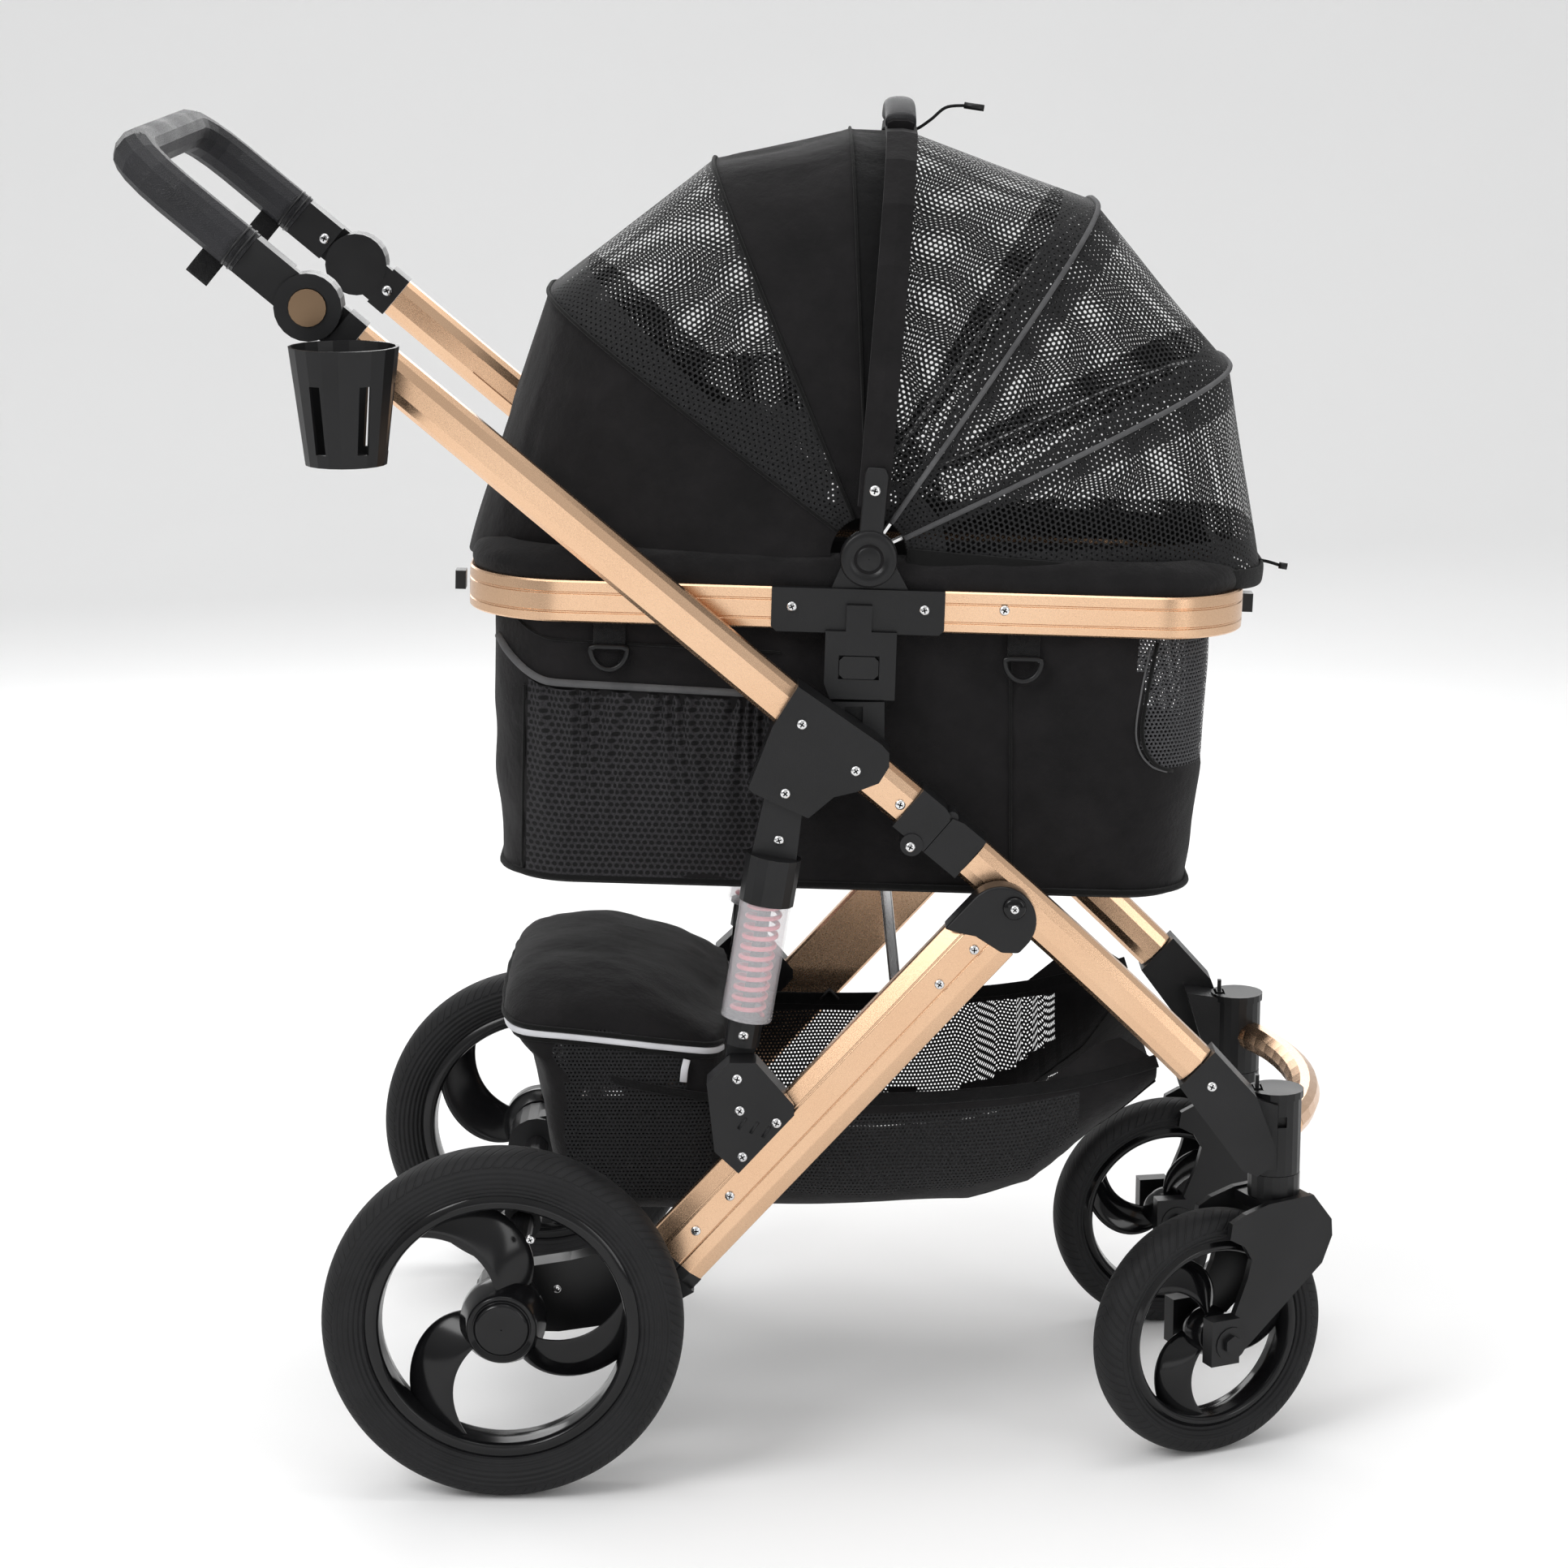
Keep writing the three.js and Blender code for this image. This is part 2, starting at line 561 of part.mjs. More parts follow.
// ---------------------------------------------------------------- handle frame

const mainTube = (side) =>
  cut(strut(onTube(-tubeLength + 44), onTube(0), side * TUBE_Y, tubeSection), sliderSlot(side));

// The bracket on the tube that carries the cabin post and takes the head of the spring link.
function upperBracket(side) {
  const outline = [
    [11, 638], [-9, 606], [-28, 557], [-24, 553], [19, 533], [39, 550], [56, 554], [74, 561], [82, 574],
    [82, 585], [76, 592],
  ];
  const body = slab(outline, side, FRAME_INNER_Y, 199);
  const tube = strut(onTube(-300), onTube(60), side * TUBE_Y, tubeClearance);
  const slot = slab(boxOnTube(-250, 60, -110, -34), side, SHOCK_Y - 6.6, SHOCK_Y + 6.6);
  return join(cut(body, tube, slot), cabinPost(side));
}

function cabinPost(side) {
  const outline = [[36, 566], [36, 618.6], [79, 618.6], [79, 574], [72, 562], [50, 555]];
  const post = slab(outline, side, 142, FRAME_INNER_Y + 1);
  const window_ = slab([[48, 602], [62, 602], [62, 615], [48, 615]], side, 158, 164);
  return cut(post, window_);
}

// The lower half of the handle joint: a disc and the arm that plugs the tube's top end.
function hubLower(side) {
  const disc = crossBar(HANDLE_HUB, HUB_RADIUS, side, 164.5, 177.6, 24);
  const arm = slab(boxOnTube(-tubeLength + 27, -tubeLength + 44 - GAP, -18, 18), side, 165, 191);
  const neck = slab(boxOnTube(-tubeLength + 10, -tubeLength + 30, -16, 16), side, 165, 177.6);
  return join(disc, arm, neck);
}

// The clip outside the right tube end that the cup holder hangs on.
const cupClip = () =>
  join(
    block(CUP.x - 16, CUP.x + 6, -197.2, -190, 884, 906),
    block(CUP.x - 11, CUP.x + 1, -201, -196, 884, 890),
  );

const BAR_DIR = [Math.cos((BAR.angle * Math.PI) / 180), Math.sin((BAR.angle * Math.PI) / 180)];
const onBar = (out, above = 0) => [
  HANDLE_HUB[0] + BAR_DIR[0] * out + BAR_DIR[1] * above,
  HANDLE_HUB[1] + BAR_DIR[1] * out - BAR_DIR[0] * above,
];
const boxOnBar = (a0, a1, b0, b1) => [onBar(a0, b0), onBar(a1, b0), onBar(a1, b1), onBar(a0, b1)];

// The upper half, outboard of the lower one, with the arm that the grip is pushed on.
function hubUpper(side) {
  const disc = crossBar(HANDLE_HUB, HUB_RADIUS, side, 178.2, 194.6, 24);
  const neck = slab(boxOnBar(10, 30, -16, 16), side, 178.2, 191);
  const arm = slab(boxOnBar(27, BAR.armEnd, -16, 16), side, 165, 191);
  const pocket = crossBar(HANDLE_HUB, 15, side, 187, 196, 20);
  return cut(join(disc, neck, arm), pocket);
}
const hubButton = (side) => crossBar(HANDLE_HUB, 14.5, side, 190.5, 196.5, 20);

// A U between the two arms, bent in the plane of the bar, from the given distance out.
function barSweep(start, width, height, count) {
  const along = new THREE.Vector3(BAR_DIR[0], 0, BAR_DIR[1]);
  const normal = new THREE.Vector3(-BAR_DIR[1], 0, BAR_DIR[0]);
  const origin = at(HANDLE_HUB, 0);
  const point = (out, y) => origin.clone().addScaledVector(along, out).addScaledVector(Y_AXIS, y);
  const corner = (sign) =>
    Array.from({ length: 5 }, (_, i) => {
      const a = (i / 4) * (Math.PI / 2);
      const out = BAR.length - BAR.cornerRadius * (1 - Math.sin(a));
      return point(out, sign * (TUBE_Y - BAR.cornerRadius * (1 - Math.cos(a))));
    });
  const path = [point(start, -TUBE_Y), ...corner(-1), ...corner(1).reverse(), point(start, TUBE_Y)];
  return sweep(path, oval(width, height, count, 2.2), normal);
}

const barCore = () => barSweep(BAR.armEnd - 2, 22, 22, 10);
const handleBar = () => join(hubUpper(1), hubUpper(-1), barCore());
const handleGrip = () =>
  cut(barSweep(BAR.armEnd + GAP, 2 * BAR.gripRadius + 2, 2 * BAR.gripRadius - 2, 12),
    barSweep(BAR.armEnd - 2, 22 + 2 * GAP, 22 + 2 * GAP, 10));

// The fold-release slider runs in a slot in the tube's inner face.
const SLIDER = { slot: [-462, -418], half: 6.6, inner: 159.6, depth: 170 };
const sliderSlot = (side) =>
  slab(
    boxOnTube(SLIDER.slot[0] - 8, SLIDER.slot[1] + 8, -SLIDER.half - GAP, SLIDER.half + GAP), side, 160,
      SLIDER.depth);
const foldSlider = (side) =>
  crossBar(onTube(SLIDER.slot[1]), SLIDER.half - GAP, side, SLIDER.inner, SLIDER.depth - GAP, 20);

// ---------------------------------------------------------------- cup holder

function cupHolder() {
  const outer = upright(CUP.x, CUP.y, CUP.bottomRadius, CUP.bottom, CUP.top, 20, CUP.topRadius);
  const inner =
    upright(CUP.x, CUP.y, CUP.bottomRadius - CUP.wall, CUP.bottom + 4, CUP.top + 4, 20, CUP.topRadius - 2);
  const slots = [0, 1, 2, 3, 4, 5].map((i) => {
    const slot = new THREE.BoxGeometry(30, 9, 52);
    slot.translate(40, 0, 0);
    slot.rotateZ((i / 6) * 2 * Math.PI);
    slot.translate(CUP.x, CUP.y, CUP.bottom + 36);
    return solid(slot);
  });
  const lug = join(
    block(CUP.x - 14, CUP.x + 4, CUP.y + 38, -201.4, 890.4, 904),
    block(CUP.x - 14, CUP.x - 11.4, -202, -197.6, 890.4, 904),
    block(CUP.x + 1.4, CUP.x + 4, -202, -197.6, 890.4, 904),
  );
  return join(cut(outer, inner, ...slots), cut(lug, inner));
}

// ---------------------------------------------------------------- cabin

// The rim ring, with a latch housing on each end.
function rimFrame() {
  const { halfLength, halfWidth, corner } = CABIN;
  const { thickness, height } = RIM;
  const outer = roundedPlan(-halfLength, halfLength, halfWidth, corner);
  const inside = roundedPlan(
    -halfLength + thickness, halfLength - thickness, halfWidth - thickness, corner - thickness);
  const ring = cut(tier(outer, -height / 2, height / 2), tier(inside, -height, height));
  const latches = [-1, 1].map(endLatch);
  const lugRooms = SIDES.map(({ sign }) => connectorRoom(sign));
  return cut(join(ring, ...latches), ...lugRooms);
}

// The notch in the rim's outer face that the side connector fills.
const connectorRoom = (side) =>
  slab([[-CONNECTOR.halfLength - GAP, -30], [CONNECTOR.halfLength + GAP, -30],
    [CONNECTOR.halfLength + GAP, 30],
    [-CONNECTOR.halfLength - GAP, 30]], side, CABIN.halfWidth - 5, CABIN.halfWidth + 5);

// The black side piece on the rim, with the receiver below and the canopy pin above.
function sideConnector(side) {
  const { halfLength, outer, top, bottom } = CONNECTOR;
  const inner = CABIN.halfWidth - 5 + GAP;
  const bar = slab(
    [[-halfLength, bottom + 4], [-halfLength, top], [halfLength, top], [halfLength, bottom + 4],
    [halfLength - 4, bottom],
      [-halfLength + 4, bottom]], side, inner, outer);
  const lug = slab([[-22, top - 2], [-12, 40], [26, 40], [40, top - 2]], side, inner, 152);
  const boss = crossBar([CANOPY.x, CANOPY.z], 16, side, inner, 152, 24);
  const pin = crossBar([CANOPY.x, CANOPY.z], 5, side, 128, 160, 16);
  return join(bar, lug, boss, pin, receiver(side));
}

const RECEIVER = { rear: -25, front: 31, bottom: -70, inner: 147.3, outer: 160.6 };
function receiver(side) {
  const { rear, front, bottom, inner, outer } = RECEIVER;
  const body = slab(
    [[rear, CONNECTOR.bottom + 2], [rear, -58], [rear + 5, bottom], [front, bottom],
    [front, CONNECTOR.bottom + 2]],
    side, inner, outer);
  const tab = slab([[-9, -30], [-9, 5], [11, 5], [11, -30]], side, CONNECTOR.outer - 1, outer);
  const pocket = slab([[-14, -54], [-14, -35], [18, -35], [18, -54]], side, 153, 162);
  return cut(join(body, tab), pocket);
}
const receiverButton = (side) =>
  slab([[-13.4, -50], [-10, -53.4], [14, -53.4], [17.4, -50], [17.4, -39], [14, -35.6], [-10, -35.6],
    [-13.4, -39]],
    side, 156.5, 161.4);

// The same outline as points, with six to each corner.
function roundedPoints(rear, front, halfWidth, radius, height) {
  const corners = [
    [front - radius, -halfWidth + radius, -90], [front - radius, halfWidth - radius, 0],
    [rear + radius, halfWidth - radius, 90], [rear + radius, -halfWidth + radius, 180],
  ];
  return corners.flatMap(([x, y, start]) =>
    [0, 1, 2, 3, 4, 5].map((i) => {
      const a = ((start + i * 18) * Math.PI) / 180;
      return new THREE.Vector3(x + radius * Math.cos(a), y + radius * Math.sin(a), height);
    }));
}

// A loft through round-cornered plans, from (height, inset) pairs.
function planLoft(levels, growth) {
  const rings = levels.map(([z, inset]) => {
    const radius = Math.max(SHELL.corner - inset * 0.4 + growth, 20);
    return roundedPoints(
      SHELL.rear + inset - growth, SHELL.front - inset + growth, SHELL.halfWidth - inset / 3 + growth,
        radius, z);
  });
  return loft(rings, rings[0].map((p) => new THREE.Vector2(p.x, p.y)));
}

// Open-topped fabric tub that tapers to its round-edged bottom.
function cabinShell() {
  const { bottom, top, taper, wall } = SHELL;
  const tub =
    planLoft([[bottom, taper + 14], [bottom + 6, taper + 3], [bottom + 18, taper - 3], [top, 0]], 0);
  const inside = planLoft([[bottom + wall, taper + 10], [bottom + 18, taper - 3], [top + 5, 0]], -wall);
  return cut(tub, inside);
}
function cabinCushion() {
  const { bottom, taper, wall } = SHELL;
  return planLoft([[bottom + wall + 0.5, taper + 16], [bottom + 20, taper + 6], [bottom + 34, taper + 8]],
    -wall - 4);
}

function endLatch(end) {
  const face = end * CABIN.halfLength;
  const out = (d) => face + end * d;
  const span = (a, b) => [Math.min(out(a), out(b)), Math.max(out(a), out(b))];
  const body = block(...span(-1, 14), -17, 17, -24, 15);
  const pocket = block(...span(5, 20), -8, 8, -18, -2);
  return cut(body, pocket);
}
function latchButton(end) {
  const face = end * CABIN.halfLength;
  const ends = [face + end * 8.5, face + end * 17];
  return block(Math.min(...ends), Math.max(...ends), -7.6, 7.6, -17.6, -2.4);
}

// ---------------------------------------------------------------- canopy

const radians = (degrees) => (degrees * Math.PI) / 180;

// Half arch of a rib from the side up and over: (y, distance from the hub axis).
function arch(radius, halfWidth, from, count) {
  const start = Math.asin(Math.min(1, (from / radius) ** (CANOPY.power / 2)));
  return Array.from({ length: count }, (_, i) => {
    const a = start + ((Math.PI - 2 * start) * i) / (count - 1);
    const c = Math.cos(a);
    const y = Math.sign(c) * Math.abs(c) ** (2 / CANOPY.power) * halfWidth;
    return [y, Math.sin(a) ** (2 / CANOPY.power) * radius];
  });
}

// Canopy cloth through the given rib angles; each station is [degrees, share of the radius].
function cloth(stations, count = 13) {
  const { radius, halfWidth, skin, clear } = CANOPY;
  const rings = stations.map(([degrees, share]) => {
    const outer = arch(radius * share, halfWidth, clear, count);
    const inner = arch(radius * share - skin, halfWidth - skin, clear, count).reverse();
    const a = radians(degrees);
    return [...outer, ...inner].map(
      ([y, r]) => new THREE.Vector3(CANOPY.x + r * Math.cos(a), y, CANOPY.z + r * Math.sin(a)));
  });
  const first = stations[0];
  const outer = arch(radius * first[1], halfWidth, clear, count);
  const inner = arch(radius * first[1] - skin, halfWidth - skin, clear, count).reverse();
  return loft(rings, [...outer, ...inner].map(([y, r]) => new THREE.Vector2(y, r)));
}

const { frontEdge, front2, front1, rear1, rear2, rearEdge } = CANOPY_ANGLES;
const HOOP_ANGLE = CANOPY_ANGLES.hoop;
const canopyRear = () =>
  cloth([[HOOP_ANGLE + 0.1, 1], [101, 0.985], [rear1, 1], [129, 0.985], [rear2, 1], [164, 0.98],
    [rearEdge, 0.985]]);
const canopyFront = () =>
  cloth([[frontEdge, 0.99], [12, 0.98], [front2, 1], [42, 0.985], [front1, 1], [72, 0.985],
    [HOOP_ANGLE - 0.1, 1]]);

// A wire rib inside the cloth, with an eye at each side for the canopy pin.
function rib(angle, halfWidth) {
  const a = radians(angle);
  const along = new THREE.Vector3(Math.cos(a), 0, Math.sin(a));
  const normal = new THREE.Vector3(Math.sin(a), 0, -Math.cos(a));
  const centre = at([CANOPY.x, CANOPY.z], 0);
  const path = arch(CANOPY.radius - CANOPY.skin - 7, halfWidth, 9, 13).map(([y, r]) =>
    centre.clone().addScaledVector(Y_AXIS, y).addScaledVector(along, r));
  const wire = sweep(path, oval(4, 4, 5, 2), normal);
  const eyes = SIDES.map(({ sign }) =>
    crossBar([CANOPY.x, CANOPY.z], 10, sign, halfWidth - 2, halfWidth + 2));
  const holes = SIDES.map(({ sign }) =>
    crossBar([CANOPY.x, CANOPY.z], 5.3, sign, halfWidth - 5, halfWidth + 5, 16));
  return cut(join(wire, ...eyes), ...holes);
}

// The hoop stands outside the cloth on a round hub at each side, and carries the grip on top.
function hoop() {
  const middle = radians(HOOP_ANGLE);
  const along = new THREE.Vector3(Math.cos(middle), 0, Math.sin(middle));
  const normal = new THREE.Vector3(Math.sin(middle), 0, -Math.cos(middle));
  const centre = at([CANOPY.x, CANOPY.z], 0);
  const path = arch(CANOPY.radius + 6, 154.5, 40, 13).map(([y, r]) =>
    centre.clone().addScaledVector(Y_AXIS, y).addScaledVector(along, r));
  const band = sweep(path, oval(26, 9, 6, 4), normal);
  const strapPoint = ([u, v]) =>
    [CANOPY.x + normal.x * u + along.x * v, CANOPY.z + normal.z * u + along.z * v];
  const hubs = SIDES.map(({ sign }) =>
    join(
      crossBar([CANOPY.x, CANOPY.z], 22, sign, 152.4, 163, 24),
      slab([[-9, 0], [9, 0], [10, 60], [-8, 60]].map(strapPoint), sign, 152.4, 159),
    ));
  const pinHoles = SIDES.map(({ sign }) => crossBar([CANOPY.x, CANOPY.z], 5.3, sign, 150, 160.3, 16));
  return cut(join(band, ...hubs, carryGrip()), ...pinHoles);
}

// Arched carry handle on top of the hoop.
function carryGrip() {
  const foot = CANOPY.z + CANOPY.radius + 6;
  const path = Array.from({ length: 9 }, (_, i) => {
    const t = i / 8;
    return new THREE.Vector3(CANOPY.x + 16, -58 + 116 * t, foot + 14 * Math.sin(Math.PI * t) ** 0.6);
  });
  return sweep(path, oval(22, 12, 8, 3), new THREE.Vector3(1, 0, 0));
}

// ---------------------------------------------------------------- the assembly

const stroller = new THREE.Group();
stroller.name = 'pet_stroller';
stroller.position.x = -CENTRE_X;

function addSide({ tag, sign }) {
  add(stroller, `front_leg_${tag}`, frontLeg(sign), GOLD);
  add(stroller, `leg_socket_${tag}`, hingeSocket(sign), BLACK);
  add(stroller, `front_bracket_${tag}`, frontBracket(sign), BLACK);
  add(stroller, `swivel_lock_${tag}`, casterLockTab(sign), BLACK);
  add(stroller, `rear_leg_${tag}`, rearLeg(sign), GOLD);
  add(stroller, `lower_plate_${tag}`, lowerPlate(sign), BLACK);
  add(stroller, `rear_tyre_${tag}`, tyre(REAR_WHEEL, AXLE, sign * REAR_WHEEL.y, 28), RUBBER);
  add(stroller, `rear_rim_${tag}`, rim(REAR_WHEEL, AXLE, sign * REAR_WHEEL.y, 6.3, 28, [hubCap(sign)]),
    GLOSS);
  add(stroller, `shock_rod_${tag}`, shockRod(sign), BLACK);
  add(stroller, `shock_body_${tag}`, shockBody(sign), BLACK);
  add(stroller, `handle_tube_${tag}`, mainTube(sign), GOLD);
  add(stroller, `hinge_knuckle_${tag}`, hingeKnuckle(sign), BLACK);
  add(stroller, `upper_plate_${tag}`, upperBracket(sign), BLACK);
  add(stroller, `tube_hub_${tag}`, sign < 0 ? join(hubLower(sign), cupClip()) : hubLower(sign), BLACK);
  add(stroller, `hub_button_${tag}`, hubButton(sign), BRONZE);
  add(stroller, `fold_slider_${tag}`, foldSlider(sign), BLACK);
}

// The caster, its wheel trailing, turned about the upright axis to its rest angle.
function addCaster({ tag, sign }) {
  const caster = new THREE.Group();
  caster.position.set(CASTER.x, sign * CASTER.y, 0);
  caster.rotation.z = CASTER_YAW[tag];
  stroller.add(caster);
  const axle = [-CASTER.trail, FRONT_WHEEL.radius];
  add(caster, `caster_fork_${tag}`, casterFork(), BLACK);
  add(caster, `front_tyre_${tag}`, tyre(FRONT_WHEEL, axle, 0, 20), RUBBER);
  add(caster, `front_rim_${tag}`, rim(FRONT_WHEEL, axle, 0, 5.3, 20), GLOSS);
}

function addCabin() {
  const cabin = new THREE.Group();
  cabin.position.set(CABIN.x, 0, CABIN.z);
  cabin.rotation.y = radians(CABIN.pitch);
  stroller.add(cabin);
  add(cabin, 'rim_frame', rimFrame(), GOLD);
  for (const { tag, sign } of SIDES) {
    add(cabin, `side_connector_${tag}`, sideConnector(sign), BLACK);
    add(cabin, `release_button_${tag}`, receiverButton(sign), GLOSS);
  }
  add(cabin, 'latch_button_front', latchButton(1), BLACK);
  add(cabin, 'latch_button_rear', latchButton(-1), BLACK);
  add(cabin, 'cabin_shell', cabinShell(), FABRIC);
  add(cabin, 'cabin_cushion', cabinCushion(), GREY);
  add(cabin, 'hoop', hoop(), BLACK);
  add(cabin, 'rib_f1', rib(front1, 136), STEEL);
  add(cabin, 'rib_f2', rib(front2, 131), STEEL);
  add(cabin, 'canopy_rear', canopyRear(), FABRIC);
  add(cabin, 'canopy_front', canopyFront(), NET);
}

SIDES.forEach(addSide);
SIDES.forEach(addCaster);
addCabin();
add(stroller, 'front_cross_tube', frontCrossTube(), GOLD);
add(stroller, 'basket_tray', basketTray(), NET);
add(stroller, 'basket_bag', basketBag(), FABRIC);
add(stroller, 'rear_axle', rearAxle(), BLACK);
add(stroller, 'brake_pedal', brakePedal(), BLACK);
add(stroller, 'handle_bar', handleBar(), BLACK);
add(stroller, 'handle_grip', handleGrip(), LEATHERETTE);
add(stroller, 'cup_holder', cupHolder(), BLACK);

export default stroller;
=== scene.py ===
"""Looks of a pet stroller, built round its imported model. Metres, +X forward, +Y left, +Z up."""

import json
import math

import bmesh
import bpy
import numpy as np
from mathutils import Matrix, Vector, noise
from mathutils.bvhtree import BVHTree

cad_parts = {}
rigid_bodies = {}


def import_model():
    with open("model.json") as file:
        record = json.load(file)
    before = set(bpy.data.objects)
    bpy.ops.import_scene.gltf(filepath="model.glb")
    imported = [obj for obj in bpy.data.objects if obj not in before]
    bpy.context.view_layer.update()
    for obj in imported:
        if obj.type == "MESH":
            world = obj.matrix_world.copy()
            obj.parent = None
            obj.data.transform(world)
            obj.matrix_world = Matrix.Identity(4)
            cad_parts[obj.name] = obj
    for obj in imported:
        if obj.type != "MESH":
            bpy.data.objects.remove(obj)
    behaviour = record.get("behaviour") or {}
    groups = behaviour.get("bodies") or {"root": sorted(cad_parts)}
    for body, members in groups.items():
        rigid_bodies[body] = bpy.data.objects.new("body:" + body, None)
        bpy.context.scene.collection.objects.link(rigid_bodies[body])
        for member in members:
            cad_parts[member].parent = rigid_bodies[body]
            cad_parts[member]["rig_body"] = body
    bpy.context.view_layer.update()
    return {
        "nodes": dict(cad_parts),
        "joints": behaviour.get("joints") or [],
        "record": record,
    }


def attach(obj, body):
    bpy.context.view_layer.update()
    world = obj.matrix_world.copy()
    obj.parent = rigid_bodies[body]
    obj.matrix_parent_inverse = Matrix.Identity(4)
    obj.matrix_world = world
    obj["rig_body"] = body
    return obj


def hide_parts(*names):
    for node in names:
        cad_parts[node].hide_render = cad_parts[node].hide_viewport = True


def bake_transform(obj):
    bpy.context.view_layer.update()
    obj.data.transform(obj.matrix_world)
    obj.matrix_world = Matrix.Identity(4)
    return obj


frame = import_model()
scene = bpy.context.scene
SIDES = (("L", 1), ("R", -1))

# ------------------------------------------------------------------ the part's own places
ORIGIN_X = 33.62


def pt(x, y, z):
    """Design millimetres to the row frame."""
    return Vector(((x + ORIGIN_X) / 1000, y / 1000, z / 1000))


HUB = Vector((-363, 931))
LEG_TOP = Vector((162.5, 446.5))
LEG_UP = Vector((0.677319, 0.735690))


def on_leg(up, across=0.0):
    return LEG_TOP + LEG_UP * up + Vector((-LEG_UP.y, LEG_UP.x)) * across


LINK_FOOT = Vector((-37, 327))
LINK_UP = Vector((0.165814, 0.986157))
SHOCK_Y = 186


def on_link(up, across=0.0):
    return LINK_FOOT + LINK_UP * up + Vector((LINK_UP.y, -LINK_UP.x)) * across


PITCH = math.radians(1.7)
CABIN_X, CABIN_Z = 58, 690


def cab(x, y, z):
    """Cabin millimetres (level with its rim) to the row frame."""
    c, s = math.cos(PITCH), math.sin(PITCH)
    return pt(CABIN_X + x * c + z * s, y, CABIN_Z - x * s + z * c)


CANOPY = dict(x=7, z=42, radius=322, half=141, power=3.6)
HOOP, F1, F2, EDGE, R1, R2, REAR = 87, 57, 27, -3.5, 114, 144, 183.5
BAR_ANGLE = math.radians(140)
BAR = Vector((math.cos(BAR_ANGLE), math.sin(BAR_ANGLE)))
REAR_AXLE = Vector((-221, 142.5))
CASTER_X, CASTER_TRAIL = 397, 60
TREAD_PITCH = 0.0085
CORD = 0.0026
CLOTH = 0.0016

# ------------------------------------------------------------------ camera, floor, light
scene.view_settings.view_transform = "Standard"
camera = bpy.data.objects.new("camera", bpy.data.cameras.new("camera"))
scene.collection.objects.link(camera)
LENS, LOOK_DOWN = 93.27, 0.21786
camera.data.sensor_width = 36
camera.data.lens = LENS
camera.location = (ORIGIN_X / 1000, -3.2929, 1.2455)
camera.rotation_euler = (math.pi / 2 - LOOK_DOWN, 0, 0)
scene.camera = camera


def light(name, place, target, size, power, color=(1, 1, 1)):
    data = bpy.data.lights.new(name, "AREA")
    data.shape = "RECTANGLE"
    data.size, data.size_y = size
    data.energy = power
    data.color = color
    obj = bpy.data.objects.new(name, data)
    scene.collection.objects.link(obj)
    obj.location = place
    obj.rotation_euler = (Vector(target) - Vector(place)).to_track_quat("-Z", "Y").to_euler()


world = bpy.data.worlds.new("world")
scene.world = world
world.use_nodes = True


def studio_world():
    """White to the camera; to the object, bright overhead and darker round the sides."""
    tree = world.node_tree
    shade = tree.nodes["Background"]
    shade.inputs[1].default_value = 0.72
    plain = tree.nodes.new("ShaderNodeBackground")
    plain.inputs[0].default_value = (1, 1, 1, 1)
    plain.inputs[1].default_value = 0.92
    coords = tree.nodes.new("ShaderNodeTexCoord")
    split = tree.nodes.new("ShaderNodeSeparateXYZ")
    ramp = tree.nodes.new("ShaderNodeValToRGB")
    ramp.color_ramp.elements[0].position = 0.36
    ramp.color_ramp.elements[0].color = (0.16, 0.165, 0.17, 1)
    ramp.color_ramp.elements[1].position = 0.72
    ramp.color_ramp.elements[1].color = (1, 1, 1, 1)
    half = tree.nodes.new("ShaderNodeMapRange")
    half.inputs[1].default_value = -1
    tree.links.new(coords.outputs["Generated"], split.inputs[0])
    tree.links.new(split.outputs[2], half.inputs[0])
    tree.links.new(half.outputs[0], ramp.inputs[0])
    tree.links.new(ramp.outputs[0], shade.inputs[0])
    path = tree.nodes.new("ShaderNodeLightPath")
    mix = tree.nodes.new("ShaderNodeMixShader")
    tree.links.new(path.outputs["Is Camera Ray"], mix.inputs[0])
    tree.links.new(shade.outputs[0], mix.inputs[1])
    tree.links.new(plain.outputs[0], mix.inputs[2])
    tree.links.new(mix.outputs[0], tree.nodes["World Output"].inputs[0])


studio_world()
light("key", (-2.1, -2.2, 2.9), (0, 0, 0.5), (1.5, 1.5), 52)
light("side", (2.3, -2.4, 1.3), (0.1, 0, 0.5), (0.8, 1.8), 15)
light("top", (0.1, 0.3, 3.2), (0, 0, 0.5), (2.4, 2.2), 36)
light("back", (-0.4, 3.0, 1.8), (0, 0, 0.6), (3.0, 1.4), 34)
light("low", (0.2, -3.4, 0.35), (0, 0, 0.45), (2.4, 0.5), 5)

